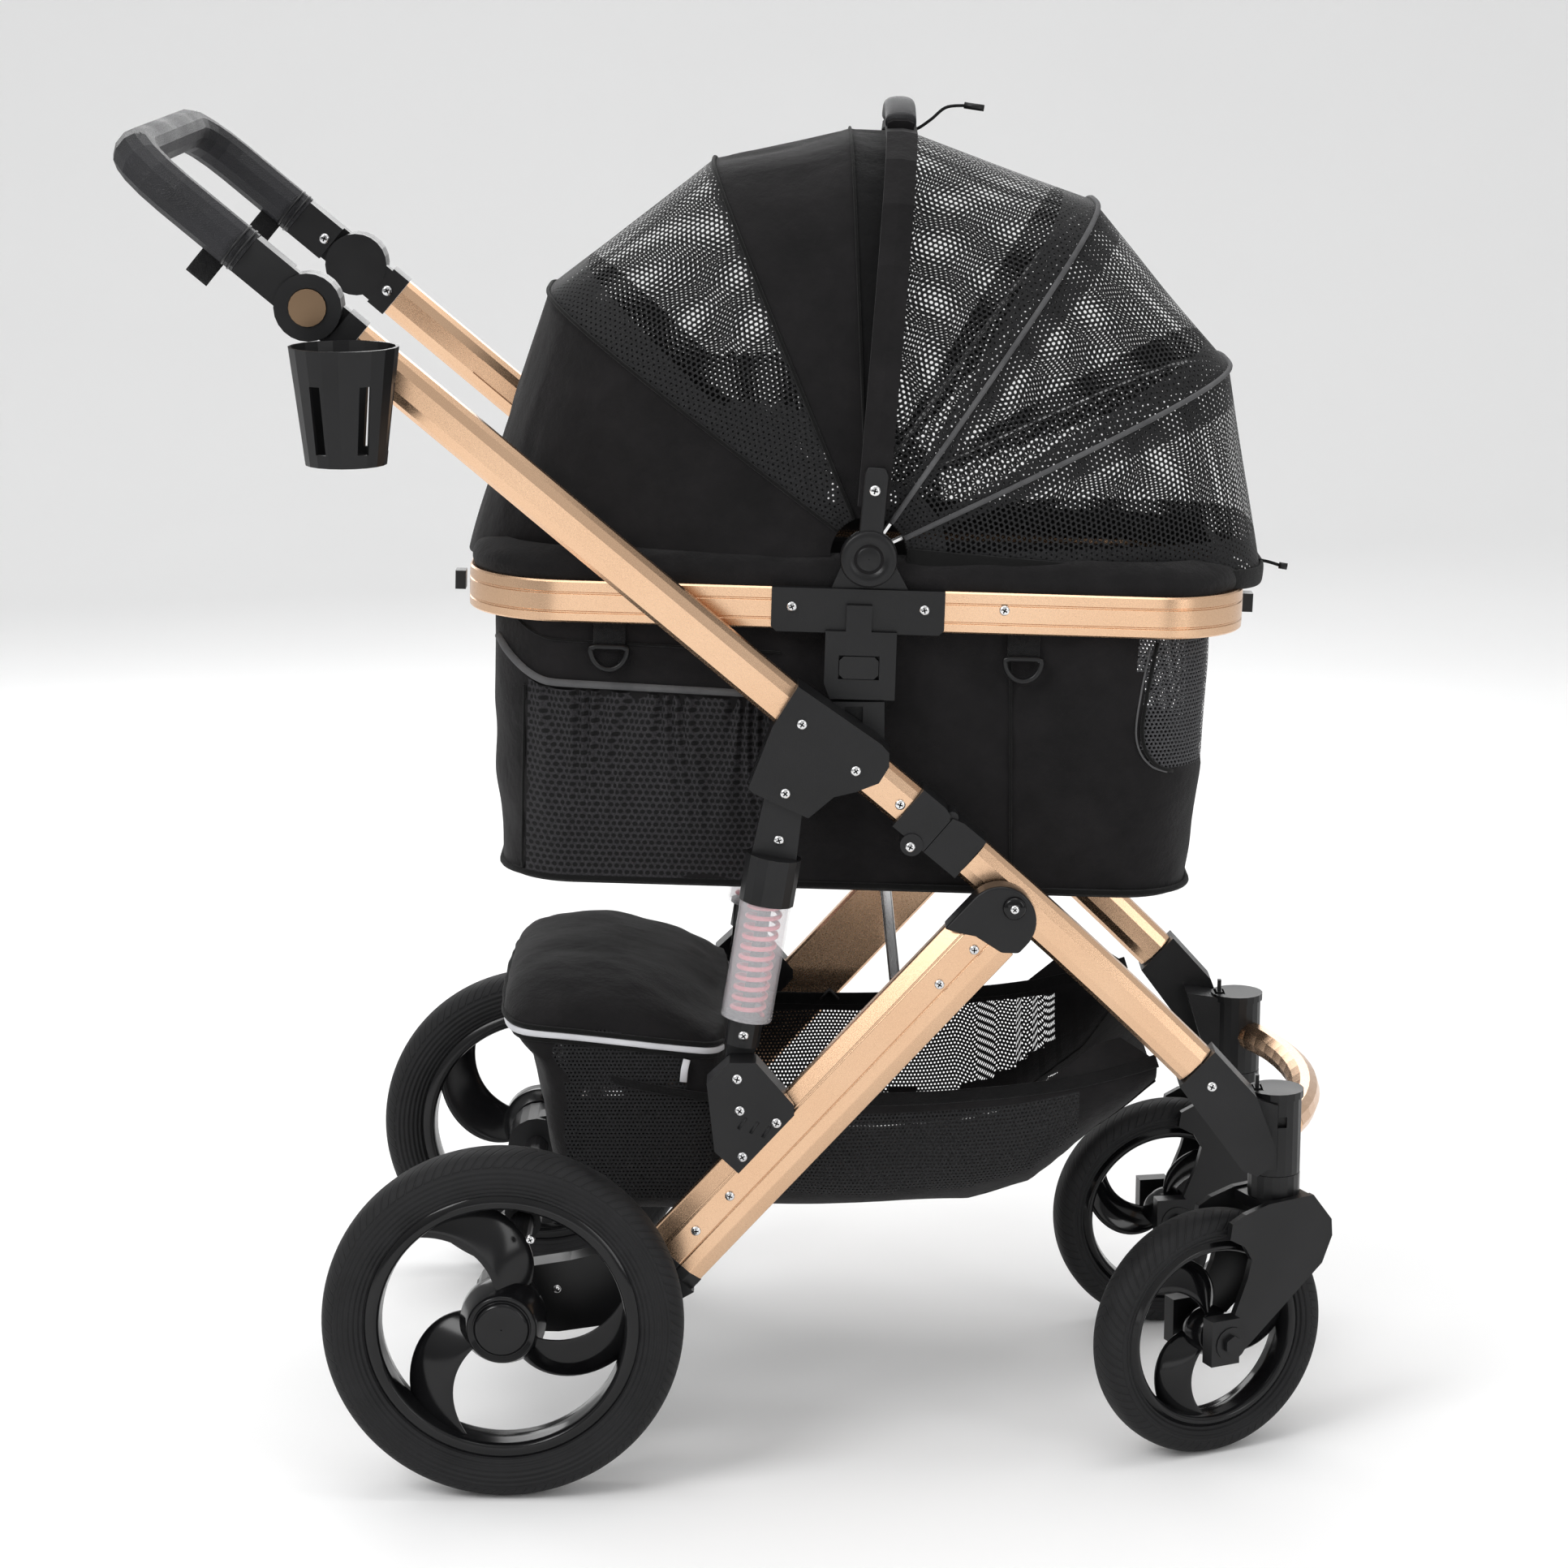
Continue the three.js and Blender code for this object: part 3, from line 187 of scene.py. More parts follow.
# ------------------------------------------------------------------ node helpers
class Nodes:
    """A small hand for building a node tree."""

    def __init__(self, name):
        self.material = bpy.data.materials.new(name)
        self.material.use_nodes = True
        self.tree = self.material.node_tree
        self.shader = self.tree.nodes["Principled BSDF"]

    def node(self, kind, **values):
        made = self.tree.nodes.new(kind)
        for key, value in values.items():
            setattr(made, key, value)
        return made

    def link(self, a, b):
        self.tree.links.new(a, b)

    def set(self, **values):
        for key, value in values.items():
            self.shader.inputs[key.replace("_", " ")].default_value = value
        return self

    def place(self, uv=False):
        coords = self.node("ShaderNodeTexCoord")
        return coords.outputs["UV" if uv else "Object"]

    def noise(self, place, scale, detail=3.0, rough=0.55):
        made = self.node("ShaderNodeTexNoise")
        made.inputs["Scale"].default_value = scale
        made.inputs["Detail"].default_value = detail
        made.inputs["Roughness"].default_value = rough
        self.link(place, made.inputs["Vector"])
        return made.outputs["Fac"]

    def ramp(self, fac, low, high, a, b):
        made = self.node("ShaderNodeMapRange")
        for slot, value in zip(range(1, 5), (low, high, a, b)):
            made.inputs[slot].default_value = value
        self.link(fac, made.inputs[0])
        return made.outputs[0]

    def math(self, operation, a, b=0.0, c=0.0):
        made = self.node("ShaderNodeMath", operation=operation)
        for slot, value in enumerate((a, b, c)):
            if isinstance(value, (int, float)):
                made.inputs[slot].default_value = value
            else:
                self.link(value, made.inputs[slot])
        return made.outputs[0]

    def mix(self, fac, a, b):
        made = self.node("ShaderNodeMix", data_type="RGBA")
        self.link(fac, made.inputs[0])
        for slot, value in ((6, a), (7, b)):
            if isinstance(value, tuple):
                made.inputs[slot].default_value = (*value, 1)
            else:
                self.link(value, made.inputs[slot])
        return made.outputs[2]

    def bump(self, height, strength, distance, under=None):
        made = self.node("ShaderNodeBump")
        made.inputs["Strength"].default_value = strength
        made.inputs["Distance"].default_value = distance
        self.link(height, made.inputs["Height"])
        if under is not None:
            self.link(under, made.inputs["Normal"])
        return made.outputs[0]

    def finish(self, color=None, rough=None, normal=None, alpha=None):
        for value, key in ((color, "Base Color"), (rough, "Roughness"), (normal, "Normal"), (alpha, "Alpha")):
            if value is not None:
                self.link(value, self.shader.inputs[key])
        return self.material


def metal(name, light_tone, dark_tone, rough=0.3, grain=900):
    n = Nodes(name).set(Metallic=1.0)
    place = n.place()
    broad = n.noise(place, 9, 2)
    fine = n.noise(place, grain, 2)
    color = n.mix(n.ramp(broad, 0.3, 0.7, 0, 1), dark_tone, light_tone)
    roughness = n.ramp(fine, 0.3, 0.7, rough - 0.02, rough + 0.04)
    return n.finish(color, roughness, n.bump(fine, 0.02, 0.0001))


def plastic(name, tone, rough=0.5, grain=1400, bump=0.25):
    n = Nodes(name).set(Specular_IOR_Level=0.30)
    place = n.place()
    fine = n.noise(place, grain, 3)
    broad = n.noise(place, 14, 2)
    lighter = tuple(min(1, v * 1.8 + 0.004) for v in tone)
    color = n.mix(n.ramp(broad, 0.35, 0.75, 0, 0.7), tone, lighter)
    roughness = n.ramp(broad, 0.3, 0.7, rough - 0.07, rough + 0.07)
    return n.finish(color, roughness, n.bump(fine, bump, 0.0003))


def uv_cells(n, place, pitch_x, pitch_y):
    """Distance, in pitches, from the nearest centre of a staggered grid."""
    split = n.node("ShaderNodeSeparateXYZ")
    n.link(place, split.inputs[0])
    row = n.math("DIVIDE", split.outputs[1], pitch_y)
    odd = n.math("MULTIPLY", n.math("FLOORED_MODULO", n.math("FLOOR", row), 2.0), 0.5)
    column = n.math("ADD", n.math("DIVIDE", split.outputs[0], pitch_x), odd)
    dx = n.math("SUBTRACT", n.math("FRACT", column), 0.5)
    dy = n.math("SUBTRACT", n.math("FRACT", row), 0.5)
    return n.math("SQRT", n.math("ADD", n.math("MULTIPLY", dx, dx), n.math("MULTIPLY", dy, dy)))


def weave_height(n, place, pitch):
    split = n.node("ShaderNodeSeparateXYZ")
    n.link(place, split.inputs[0])
    a = n.math("SINE", n.math("MULTIPLY", split.outputs[0], 2 * math.pi / pitch))
    b = n.math("SINE", n.math("MULTIPLY", split.outputs[1], 2 * math.pi / pitch))
    return n.math("MULTIPLY", a, b)


def cloth_material(name, tone, light_tone, pitch=0.0011, rough=0.85, crease=26):
    n = Nodes(name).set(Sheen_Weight=0.10, Sheen_Roughness=0.4, Specular_IOR_Level=0.20)
    uv = n.place(uv=True)
    place = n.place()
    weave = weave_height(n, uv, pitch)
    fold_height_and_shade = n.noise(place, crease, 5, 0.62)
    # the colour follows the fold bump: lighter on the crests, darker in the hollows, which is painted shade
    # in the creases
    color = n.mix(n.ramp(fold_height_and_shade, 0.35, 0.7, 0, 1), tone, light_tone)
    roughness = n.ramp(fold_height_and_shade, 0.3, 0.7, rough - 0.08, min(1, rough + 0.06))
    under = n.bump(fold_height_and_shade, 0.6, 0.006)
    return n.finish(color, roughness, n.bump(weave, 0.5, 0.0004, under))


def net_material(name, tone, pitch, hole, see_through=True):
    """Knitted net: a staggered grid of round holes between threads."""
    n = Nodes(name).set(Specular_IOR_Level=0.2, Sheen_Weight=0.05, Roughness=0.7)
    uv = n.place(uv=True)
    away = uv_cells(n, uv, pitch[0], pitch[1])
    thread = n.ramp(away, hole - 0.06, hole + 0.06, 0, 1)
    fine = n.noise(n.place(), 700, 2)
    lighter = tuple(v * 2.2 + 0.01 for v in tone)
    color = n.mix(n.ramp(fine, 0.3, 0.7, 0, 1), tone, lighter)
    if see_through:
        return n.finish(color, None, n.bump(thread, 0.6, 0.0006), thread)
    color = n.mix(thread, (0.0012, 0.0012, 0.0014), color)
    return n.finish(color, None, n.bump(thread, 0.5, 0.0007))


GOLD = metal("champagne", (0.76, 0.51, 0.335), (0.72, 0.465, 0.295), 0.25)
STEEL = metal("steel", (0.80, 0.80, 0.80), (0.62, 0.62, 0.63), 0.2)
SPRING = plastic("spring_red", (0.72, 0.16, 0.19), 0.3, bump=0.05)
BLACK = plastic("black_plastic", (0.0055, 0.0055, 0.0060), 0.36)
GLOSS = plastic("gloss_black", (0.0032, 0.0032, 0.0036), 0.14, bump=0.02)
BRONZE = metal("bronze", (0.34, 0.23, 0.14), (0.24, 0.16, 0.10), 0.32)
FABRIC = cloth_material("black_cloth", (0.0048, 0.0044, 0.0048), (0.0125, 0.0115, 0.0122))
SLEEVE = cloth_material("sleeve_cloth", (0.0025, 0.0025, 0.0028), (0.0070, 0.0068, 0.0072), crease=60)
PIPING = cloth_material("piping", (0.0026, 0.0026, 0.0026), (0.006, 0.006, 0.006), 0.0008)
GREY_PIPE = cloth_material("grey_piping", (0.075, 0.075, 0.078), (0.125, 0.125, 0.128), 0.0008)
PAD = cloth_material("plush_pad", (0.10, 0.10, 0.11), (0.17, 0.17, 0.18), 0.003, 0.95, 160)
WEBBING = cloth_material("webbing", (0.0040, 0.0040, 0.0045), (0.010, 0.010, 0.0105), 0.0016, 0.8, 200)
NET = net_material("canopy_net", (0.0040, 0.0040, 0.0044), (0.0047, 0.0041), 0.36)
NET_DOUBLE = net_material("double_net", (0.0036, 0.0036, 0.0040), (0.0047, 0.0041), 0.16)
POCKET = net_material("pocket_net", (0.0105, 0.0098, 0.0112), (0.0062, 0.0052), 0.36, see_through=False)
BASKET_NET = net_material("basket_net", (0.0045, 0.0045, 0.0050), (0.0032, 0.0032), 0.24)
WINDOW = net_material("window_net", (0.030, 0.030, 0.032), (0.0036, 0.0032), 0.33)
ZIP = plastic("zip_silver", (0.50, 0.50, 0.52), 0.4, bump=0.1)


def leatherette():
    n = Nodes("leatherette").set(Specular_IOR_Level=0.4)
    place = n.place()
    cells = n.node("ShaderNodeTexVoronoi", feature="DISTANCE_TO_EDGE")
    cells.inputs["Scale"].default_value = 620
    n.link(place, cells.inputs["Vector"])
    broad = n.noise(place, 18, 3)
    color = n.mix(n.ramp(broad, 0.3, 0.7, 0, 1), (0.0050, 0.0050, 0.0065), (0.013, 0.013, 0.0165))
    grain = n.ramp(cells.outputs["Distance"], 0.0, 0.25, 0, 1)
    return n.finish(color, n.ramp(broad, 0.3, 0.7, 0.42, 0.58), n.bump(grain, 0.5, 0.0005))


def rubber():
    """Tyre rubber; the tread's blocks follow the tyre's own lengths."""
    n = Nodes("tyre_rubber").set(Specular_IOR_Level=0.28)
    uv = n.place(uv=True)
    split = n.node("ShaderNodeSeparateXYZ")
    n.link(uv, split.inputs[0])
    wave = n.math("ABSOLUTE", split.outputs[1])
    skew = n.math("ADD", n.math("DIVIDE", split.outputs[0], TREAD_PITCH), n.math("MULTIPLY", wave, 90))
    blocks = n.ramp(n.math("ABSOLUTE", n.math("SUBTRACT", n.math("FRACT", skew), 0.5)), 0.06, 0.12, 0, 1)
    side = n.ramp(wave, 0.024, 0.026, 0, 1)
    ribs = n.ramp(n.math("SINE", n.math("MULTIPLY", split.outputs[1], 2 * math.pi / 0.0042)), -1, 1, 0.35, 1)
    crown = n.math("MULTIPLY", blocks, n.math("SUBTRACT", 1.0, side))
    height = n.math("MAXIMUM", crown, n.math("MULTIPLY", side, ribs))
    dust = n.noise(n.place(), 40, 4)
    color = n.mix(n.ramp(dust, 0.3, 0.75, 0, 1), (0.0060, 0.0060, 0.0066), (0.016, 0.016, 0.017))
    fine = n.noise(n.place(), 900, 2)
    under = n.bump(fine, 0.2, 0.0003)
    return n.finish(color, n.ramp(dust, 0.3, 0.7, 0.62, 0.8), n.bump(height, 0.9, 0.0016, under))


def clear_plastic():
    n = Nodes("clear_sleeve").set(Roughness=0.08, Alpha=0.24, Specular_IOR_Level=0.8)
    broad = n.noise(n.place(), 30, 2)
    return n.finish(n.mix(broad, (0.80, 0.79, 0.82), (0.92, 0.91, 0.94)))


LEATHER, RUBBER, CLEAR = leatherette(), rubber(), clear_plastic()

# ------------------------------------------------------------------ mesh helpers


def build(name, verts, faces, material, body=None, smooth=True, uv=None, indices=None):
    """A mesh object from points and faces; uv gives one pair per vertex, in metres."""
    data = bpy.data.meshes.new(name)
    data.from_pydata([tuple(v) for v in verts], [], faces)
    materials = material if isinstance(material, (list, tuple)) else [material]
    for m in materials:
        data.materials.append(m)
    if indices is not None:
        data.polygons.foreach_set("material_index", indices)
    data.polygons.foreach_set("use_smooth", [smooth] * len(data.polygons))
    if uv is not None:
        layer = data.uv_layers.new(name="UVMap")
        flat = np.array([uv[loop.vertex_index] for loop in data.loops], np.float32)
        layer.data.foreach_set("uv", flat.ravel())
    data.update()
    obj = bpy.data.objects.new(name, data)
    scene.collection.objects.link(obj)
    if body:
        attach(obj, body)
    return obj


def modifier(obj, kind, **values):
    made = obj.modifiers.new(kind.lower(), kind)
    for key, value in values.items():
        setattr(made, key, value)
    return made


def bevelled(obj, width=0.0008, segments=2, angle=32):
    modifier(obj, "BEVEL", width=width, segments=segments, limit_method="ANGLE",
             angle_limit=math.radians(angle), harden_normals=True, miter_outer="MITER_ARC")
    return obj


def grid_faces(rows, cols, close_rows=False, close_cols=False, flip=False):
    faces = []
    for i in range(rows if close_rows else rows - 1):
        for j in range(cols if close_cols else cols - 1):
            a, b = i * cols + j, i * cols + (j + 1) % cols
            c, d = ((i + 1) % rows) * cols + (j + 1) % cols, ((i + 1) % rows) * cols + j
            faces.append((a, d, c, b) if flip else (a, b, c, d))
    return faces


def spaced(dense, count, last):
    """Evenly spaced places along a polyline: (index, share to the next point, length run)."""
    steps = [0.0]
    for a, b in zip(dense, dense[1:]):
        steps.append(steps[-1] + (b - a).length)
    k = 0
    for i in range(count):
        want = steps[-1] * i / last
        while k < len(steps) - 2 and steps[k + 1] < want:
            k += 1
        yield k, (want - steps[k]) / (steps[k + 1] - steps[k] or 1e-9), want


def smooth_path(points, count, closed=False):
    """Catmull-Rom through the points, spaced evenly by length."""
    points = [Vector(p) for p in points]
    n = len(points)
    dense = []
    for i in range(n if closed else n - 1):
        if closed:
            a, b, c, d = (points[(i + k) % n] for k in (-1, 0, 1, 2))
        else:
            a, b, c, d = points[max(i - 1, 0)], points[i], points[i + 1], points[min(i + 2, n - 1)]
        for k in range(16):
            t = k / 16
            dense.append(0.5 * ((2 * b) + (c - a) * t + (2 * a - 5 * b + 4 * c - d) * t * t
                                + (3 * b - a - 3 * c + d) * t ** 3))
    dense.append(points[0] if closed else points[-1])
    last = count if closed else count - 1
    return [dense[k].lerp(dense[k + 1], t) for k, t, _ in spaced(dense, count, last)]


def tube(name, path, section, material, body=None, closed=False, up=(0, 1, 0), caps=True,
         smooth=True):
    """A section, points (across, out), carried along a path; a number makes it round. Lengths in metres."""
    if isinstance(section, (int, float)):
        r, count = section, 10 if section < 0.004 else 20
        turns = [2 * math.pi * k / count for k in range(count)]
        section = [(r * math.cos(a), r * math.sin(a)) for a in turns]
    path = [Vector(p) for p in path]
    verts, n, size, run, uv = [], len(path), len(section), 0.0, []
    side = Vector(up)
    perimeter = [0.0]
    for k in range(size - 1):
        perimeter.append(perimeter[-1] + math.dist(section[k], section[k + 1]))
    for i, p in enumerate(path):
        ahead = path[(i + 1) % n] if closed else path[min(i + 1, n - 1)]
        back = path[i - 1] if closed else path[max(i - 1, 0)]
        tangent = (ahead - back).normalized()
        side = (side - tangent * side.dot(tangent))
        side = side.normalized() if side.length > 1e-6 else tangent.orthogonal().normalized()
        out = tangent.cross(side)
        run += (p - path[i - 1]).length if i else 0
        for k, (a, b) in enumerate(section):
            verts.append(p + side * a + out * b)
            uv.append((run, perimeter[k]))
    faces = grid_faces(n, size, close_rows=closed, close_cols=True)
    if caps and not closed:
        faces += [tuple(range(size)), tuple(range((n - 1) * size, n * size))[::-1]]
    obj = build(name, verts, faces, material, body, smooth, uv)
    recalc(obj)
    return obj


def recalc(obj, weld=False):
    """Turn the normals outward, after joining doubled points where asked."""
    bm = bmesh.new()
    bm.from_mesh(obj.data)
    if weld:
        bmesh.ops.remove_doubles(bm, verts=bm.verts, dist=1e-6)
    bmesh.ops.recalc_face_normals(bm, faces=bm.faces)
    bm.to_mesh(obj.data)
    bm.free()


def oval(width, height, count=32, power=2.8):
    out = []
    for k in range(count):
        a = 2 * math.pi * (k + 0.5) / count
        c, s = math.cos(a), math.sin(a)
        out.append((math.copysign(abs(c) ** (2 / power), c) * width / 2,
                    math.copysign(abs(s) ** (2 / power), s) * height / 2))
    return out


def prism(name, verts, material, body):
    """A solid from the points of one end followed by those of the other."""
    n = len(verts) // 2
    faces = [tuple(range(n)), tuple(range(n, 2 * n))[::-1]]
    faces += [(i, n + i, n + (i + 1) % n, (i + 1) % n) for i in range(n)]
    obj = build(name, verts, faces, material, body)
    recalc(obj)
    return obj


def plate(name, outline, y0, y1, material, body, bevel=0.0012, world=None):
    """A side-view outline in design millimetres, solid from y0 to y1, with rounded edges."""
    world = world or (lambda p, y: pt(p[0], y, p[1]))
    obj = prism(name, [world(p, y) for y in (y0, y1) for p in outline], material, body)
    return bevelled(obj, bevel, 3, 25)


def lathe(name, profile, centre, axis, material, body, count=64, close=False, uv_radius=None):
    """Turned shape: profile points are (radius, offset along the axis) in metres."""
    axis = Vector(axis).normalized()
    u = axis.orthogonal().normalized()
    v = axis.cross(u)
    centre = Vector(centre)
    verts, uv = [], []
    rows = len(profile)
    for r, o in profile:
        for k in range(count + 1):
            a = 2 * math.pi * k / count
            verts.append(centre + axis * o + (u * math.cos(a) + v * math.sin(a)) * r)
            uv.append(((uv_radius or r) * a, o))
    faces = grid_faces(rows, count + 1, close_rows=close)
    obj = build(name, verts, faces, material, body, True, uv)
    recalc(obj, weld=True)
    return obj


def joined(name, parts, body):
    """Several mesh objects as one piece."""
    bpy.ops.object.select_all(action="DESELECT")
    for p in parts:
        p.select_set(True)
    bpy.context.view_layer.objects.active = parts[0]
    bpy.ops.object.join()
    obj = parts[0]
    obj.name = name
    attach(obj, body)
    return obj


def screws(name, places, body, radius=0.0042):
    """Pan-head screws; the cross recess is two flat black quads over the steel head, painted shade in the
    recess. Each place is (point, outward direction).
    """
    verts, faces, index = [], [], []
    rings = ((1.0, 0.0), (1.0, 0.30), (0.86, 0.52), (0.5, 0.66))
    for point, out in places:
        out = Vector(out).normalized()
        u = out.orthogonal().normalized()
        v = out.cross(u)
        base = len(verts)
        for r, h in rings:
            for k in range(16):
                a = 2 * math.pi * k / 16
                around = u * math.cos(a) + v * math.sin(a)
                verts.append(Vector(point) + around * r * radius + out * h * radius)
        ring_faces = grid_faces(4, 16, close_cols=True)
        faces += [tuple(base + i for i in f) for f in ring_faces] + [tuple(base + 48 + k for k in range(16))]
        index += [0] * (len(ring_faces) + 1)
        turn = (point[0] * 997 + point[2] * 613) % 1.5
        # the cross recess: flat gloss-black quads just above the head, a dark mark painted where the recess
        # would be in shade
        for arm in (0, 1):
            a = turn + arm * math.pi / 2
            d = u * math.cos(a) + v * math.sin(a)
            w = out.cross(d)
            b2 = len(verts)
            for sd, sw in ((-1, -1), (1, -1), (1, 1), (-1, 1)):
                corner = Vector(point) + d * sd * radius * 0.52 + w * sw * radius * 0.13
                verts.append(corner + out * radius * 0.69)
            faces.append((b2, b2 + 1, b2 + 2, b2 + 3))
            index.append(1)
    obj = build(name, verts, faces, [STEEL, GLOSS], body, True, None, index)
    recalc(obj)
    return obj


# ------------------------------------------------------------------ finishes of the CAD nodes
SLOT_MATERIAL = {
    "champagne": GOLD, "black_plastic": BLACK, "gloss_black": GLOSS, "tyre": RUBBER, "steel": STEEL,
    "fabric": FABRIC, "net": NET, "pad": PAD, "leather": LEATHER, "bronze": BRONZE,
}
slots = {s["node"]: s["material_slot"] for s in frame["record"]["subparts"]}
ROUND = ("handle_tube", "front_leg", "handle_grip", "handle_bar", "front_cross", "cup_holder")
# CAD nodes keep their shape; their curved faces are shaded smooth between hard edges.
for name, node in frame["nodes"].items():
    node.data.materials.clear()
    node.data.materials.append(SLOT_MATERIAL[slots[name]])
    node.data.polygons.foreach_set("use_smooth", [True] * len(node.data.polygons))
    node.data.set_sharp_from_angle(angle=math.radians(62 if name.startswith(ROUND) else 34))
    bevelled(node, 0.0007, 2, 35)

JOINTS = {j["name"]: j for j in frame["joints"]}

# ------------------------------------------------------------------ cords


def cord_piece(name, body, points, diameter, tip_way):
    """A free cord that leaves the cabin and ends in a small moulded tip."""
    path = smooth_path(points, 24)
    length = sum((b - a).length for a, b in zip(path, path[1:]))
    obj = tube(name, path, diameter / 2, WEBBING, body)
    way = Vector(tip_way)
    end = tube(name + "_tip", [path[-1] - way * 0.12, path[-1] + way * 0.4, path[-1] + way],
               diameter * 1.05, BLACK, body)
    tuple(path[0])


cord_piece("grip_drawcord", "cabin",
           [cab(26, -12, 366), cab(36, -14, 366), cab(48, -13, 374), cab(60, -12, 384), cab(76, -13, 386)],
           CORD, (0.014, -0.002, -0.002))
cord_piece("front_pull_cord", "cabin",
           [cab(307, -30, 24), cab(313, -31, 27), cab(322, -32, 30), cab(333, -33, 29), cab(344, -33, 26)],
           CORD, (0.006, -0.0005, -0.001))

# ------------------------------------------------------------------ where the surfaces are
TREES = {}
for name, node in frame["nodes"].items():
    co = [v.co.copy() for v in node.data.vertices]
    TREES[name] = BVHTree.FromPolygons(co, [tuple(p.vertices) for p in node.data.polygons])


SOFT_OR_SWIVEL = ("canopy", "cabin_shell", "basket", "front_tyre", "front_rim", "caster")


def outer_hit(x, z, side, inner=False):
    """The first CAD surface met at a side-view place, from outside or from the middle plane."""
    start = Vector(((x + ORIGIN_X) / 1000, 0 if inner else side * 0.5, z / 1000))
    way = Vector((0, side if inner else -side, 0))
    best = None
    for name, tree in TREES.items():
        if name.startswith(SOFT_OR_SWIVEL):
            continue
        place, normal, _, away = tree.ray_cast(start, way, 0.49)
        if place is not None and (best is None or away < best[2]):
            best = (place, name, away)
    return best


def side_screws(name, places, radius=0.0042, inner=False):
    """Screws on both sides at side-view places, one piece for each body they sit on."""
    found = {}
    for _, side in SIDES:
        for x, z in places:
            hit = outer_hit(x, z, side, inner)
            if hit is None:
                continue
            body = frame["nodes"][hit[1]]["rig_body"]
            way = Vector((0, -side if inner else side, 0))
            found.setdefault(body, []).append((hit[0] - way * 0.0003, way))
    for body, seats in found.items():
        screws(f"{name}_{body}", seats, body, radius)


def cabin_xz(x, z):
    p = cab(x, 0, z)
    return (p.x * 1000 - ORIGIN_X, p.z * 1000)


side_screws("frame_screw", [(14, 608), (56, 571), (1, 553), (91, 542), (99, 509), (-4, 514), (-32, 357)])
side_screws("plate_screw", [(-37, 327), (-35, 301), (-6, 291), (-33, 263), (340, 313)])
for tag, side in SIDES:
    screws(f"leg_screw_{tag}", [(pt(x, side * 213.9, z), (0, side, 0)) for x, z in
                                ((149, 431), (122, 403), (-43, 229), (-70, 200))], "rear_frame", 0.0040)
for tag, side in SIDES:
    pin = [(0.0004, 0.0046), (0.0070, 0.0046), (0.0086, 0.0036), (0.0092, 0.0016), (0.0092, -0.0005)]
    lathe(f"pivot_pin_{tag}", pin, pt(180, side * 216.2, 465), (0, side, 0), GLOSS, "front_frame")
    screws(f"pivot_screw_{tag}", [(pt(180, side * 220.6, 465), (0, side, 0))], "front_frame", 0.0036)
side_screws("rim_screw", [cabin_xz(-52, 2), cabin_xz(52, 2), cabin_xz(115, 3)])
side_screws("housing_screw", [(-198, 213), (-181, 152)], 0.0036)
side_screws("arm_screw_inner", [(HUB.x - 26, HUB.y + 22), (HUB.x + 26, HUB.y - 22)], 0.0046, inner=True)

# ------------------------------------------------------------------ rear legs: grooved bar and end caps
LEG_LENGTH = (LEG_TOP - Vector((-93, 169))).length


def leg_section():
    """Outline of the bar: place across the leg and distance from the middle plane, in millimetres."""
    return [(-25, 194), (-27.5, 197), (-27.5, 206.5), (-16.5, 213.6), (-15.6, 214), (-6.4, 214),
            (-5.7, 213.0),
            (-5.0, 214), (13.2, 214), (14.2, 213.2), (15.4, 213.2), (26.6, 205.9), (27.5, 204.6),
            (27.5, 196.5), (25, 194)]


def leg_piece(name, up0, up1, side, section, material, body):
    verts = []
    for up in (up0, up1):
        for across, out in section:
            place = on_leg(up, across)
            verts.append(pt(place.x, side * out, place.y))
    obj = prism(name, verts, material, body)
    obj.data.set_sharp_from_angle(angle=math.radians(20))
    return bevelled(obj, 0.0006, 2, 20)


def end_cap_outline():
    """The rounded cap at the top of the leg, with a slanting lower edge."""
    rim = []
    for k in range(25):
        a = math.pi / 2 - math.pi * k / 24
        rim.append(on_leg(10 + 28.3 * math.cos(a), 28.3 * math.sin(a)))
    return [on_leg(-24, 28.3)] + rim + [on_leg(1, -28.3), on_leg(-8, -18), on_leg(-12, 6), on_leg(-18, 16)]


for tag, side in SIDES:
    bar = leg_piece(f"rear_leg_bar_{tag}", -LEG_LENGTH, -4, side, leg_section(), GOLD, "rear_frame")
    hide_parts(f"rear_leg_{tag}")
    plate(f"rear_leg_cap_{tag}", end_cap_outline(), side * 193.6, side * 216.4, BLACK, "rear_frame",
          bevel=0.0022)
    foot = [(a * 1.03, 193.4 + (o - 194) * 1.05) for a, o in leg_section()]
    leg_piece(f"rear_leg_foot_{tag}", -LEG_LENGTH - 1, -LEG_LENGTH + 9, side, foot, BLACK, "rear_frame")

# ------------------------------------------------------------------ wheels
ROWS = 26


def tyre_profile(radius, bead, half):
    """Half of the section, from the crown round to the bead, as radius and offset."""
    middle = bead + (radius - bead) * 0.44
    points = []
    for k in range(ROWS):
        a = math.pi / 2 * k / (ROWS - 1)
        points.append((middle + (radius - middle) * math.cos(a) ** 0.72, half * math.sin(a) ** 0.82))
    for k in range(1, 14):
        t = k / 13
        points.append((middle - (middle - bead) * t, half * (1 - 0.30 * t ** 1.8)))
    return points


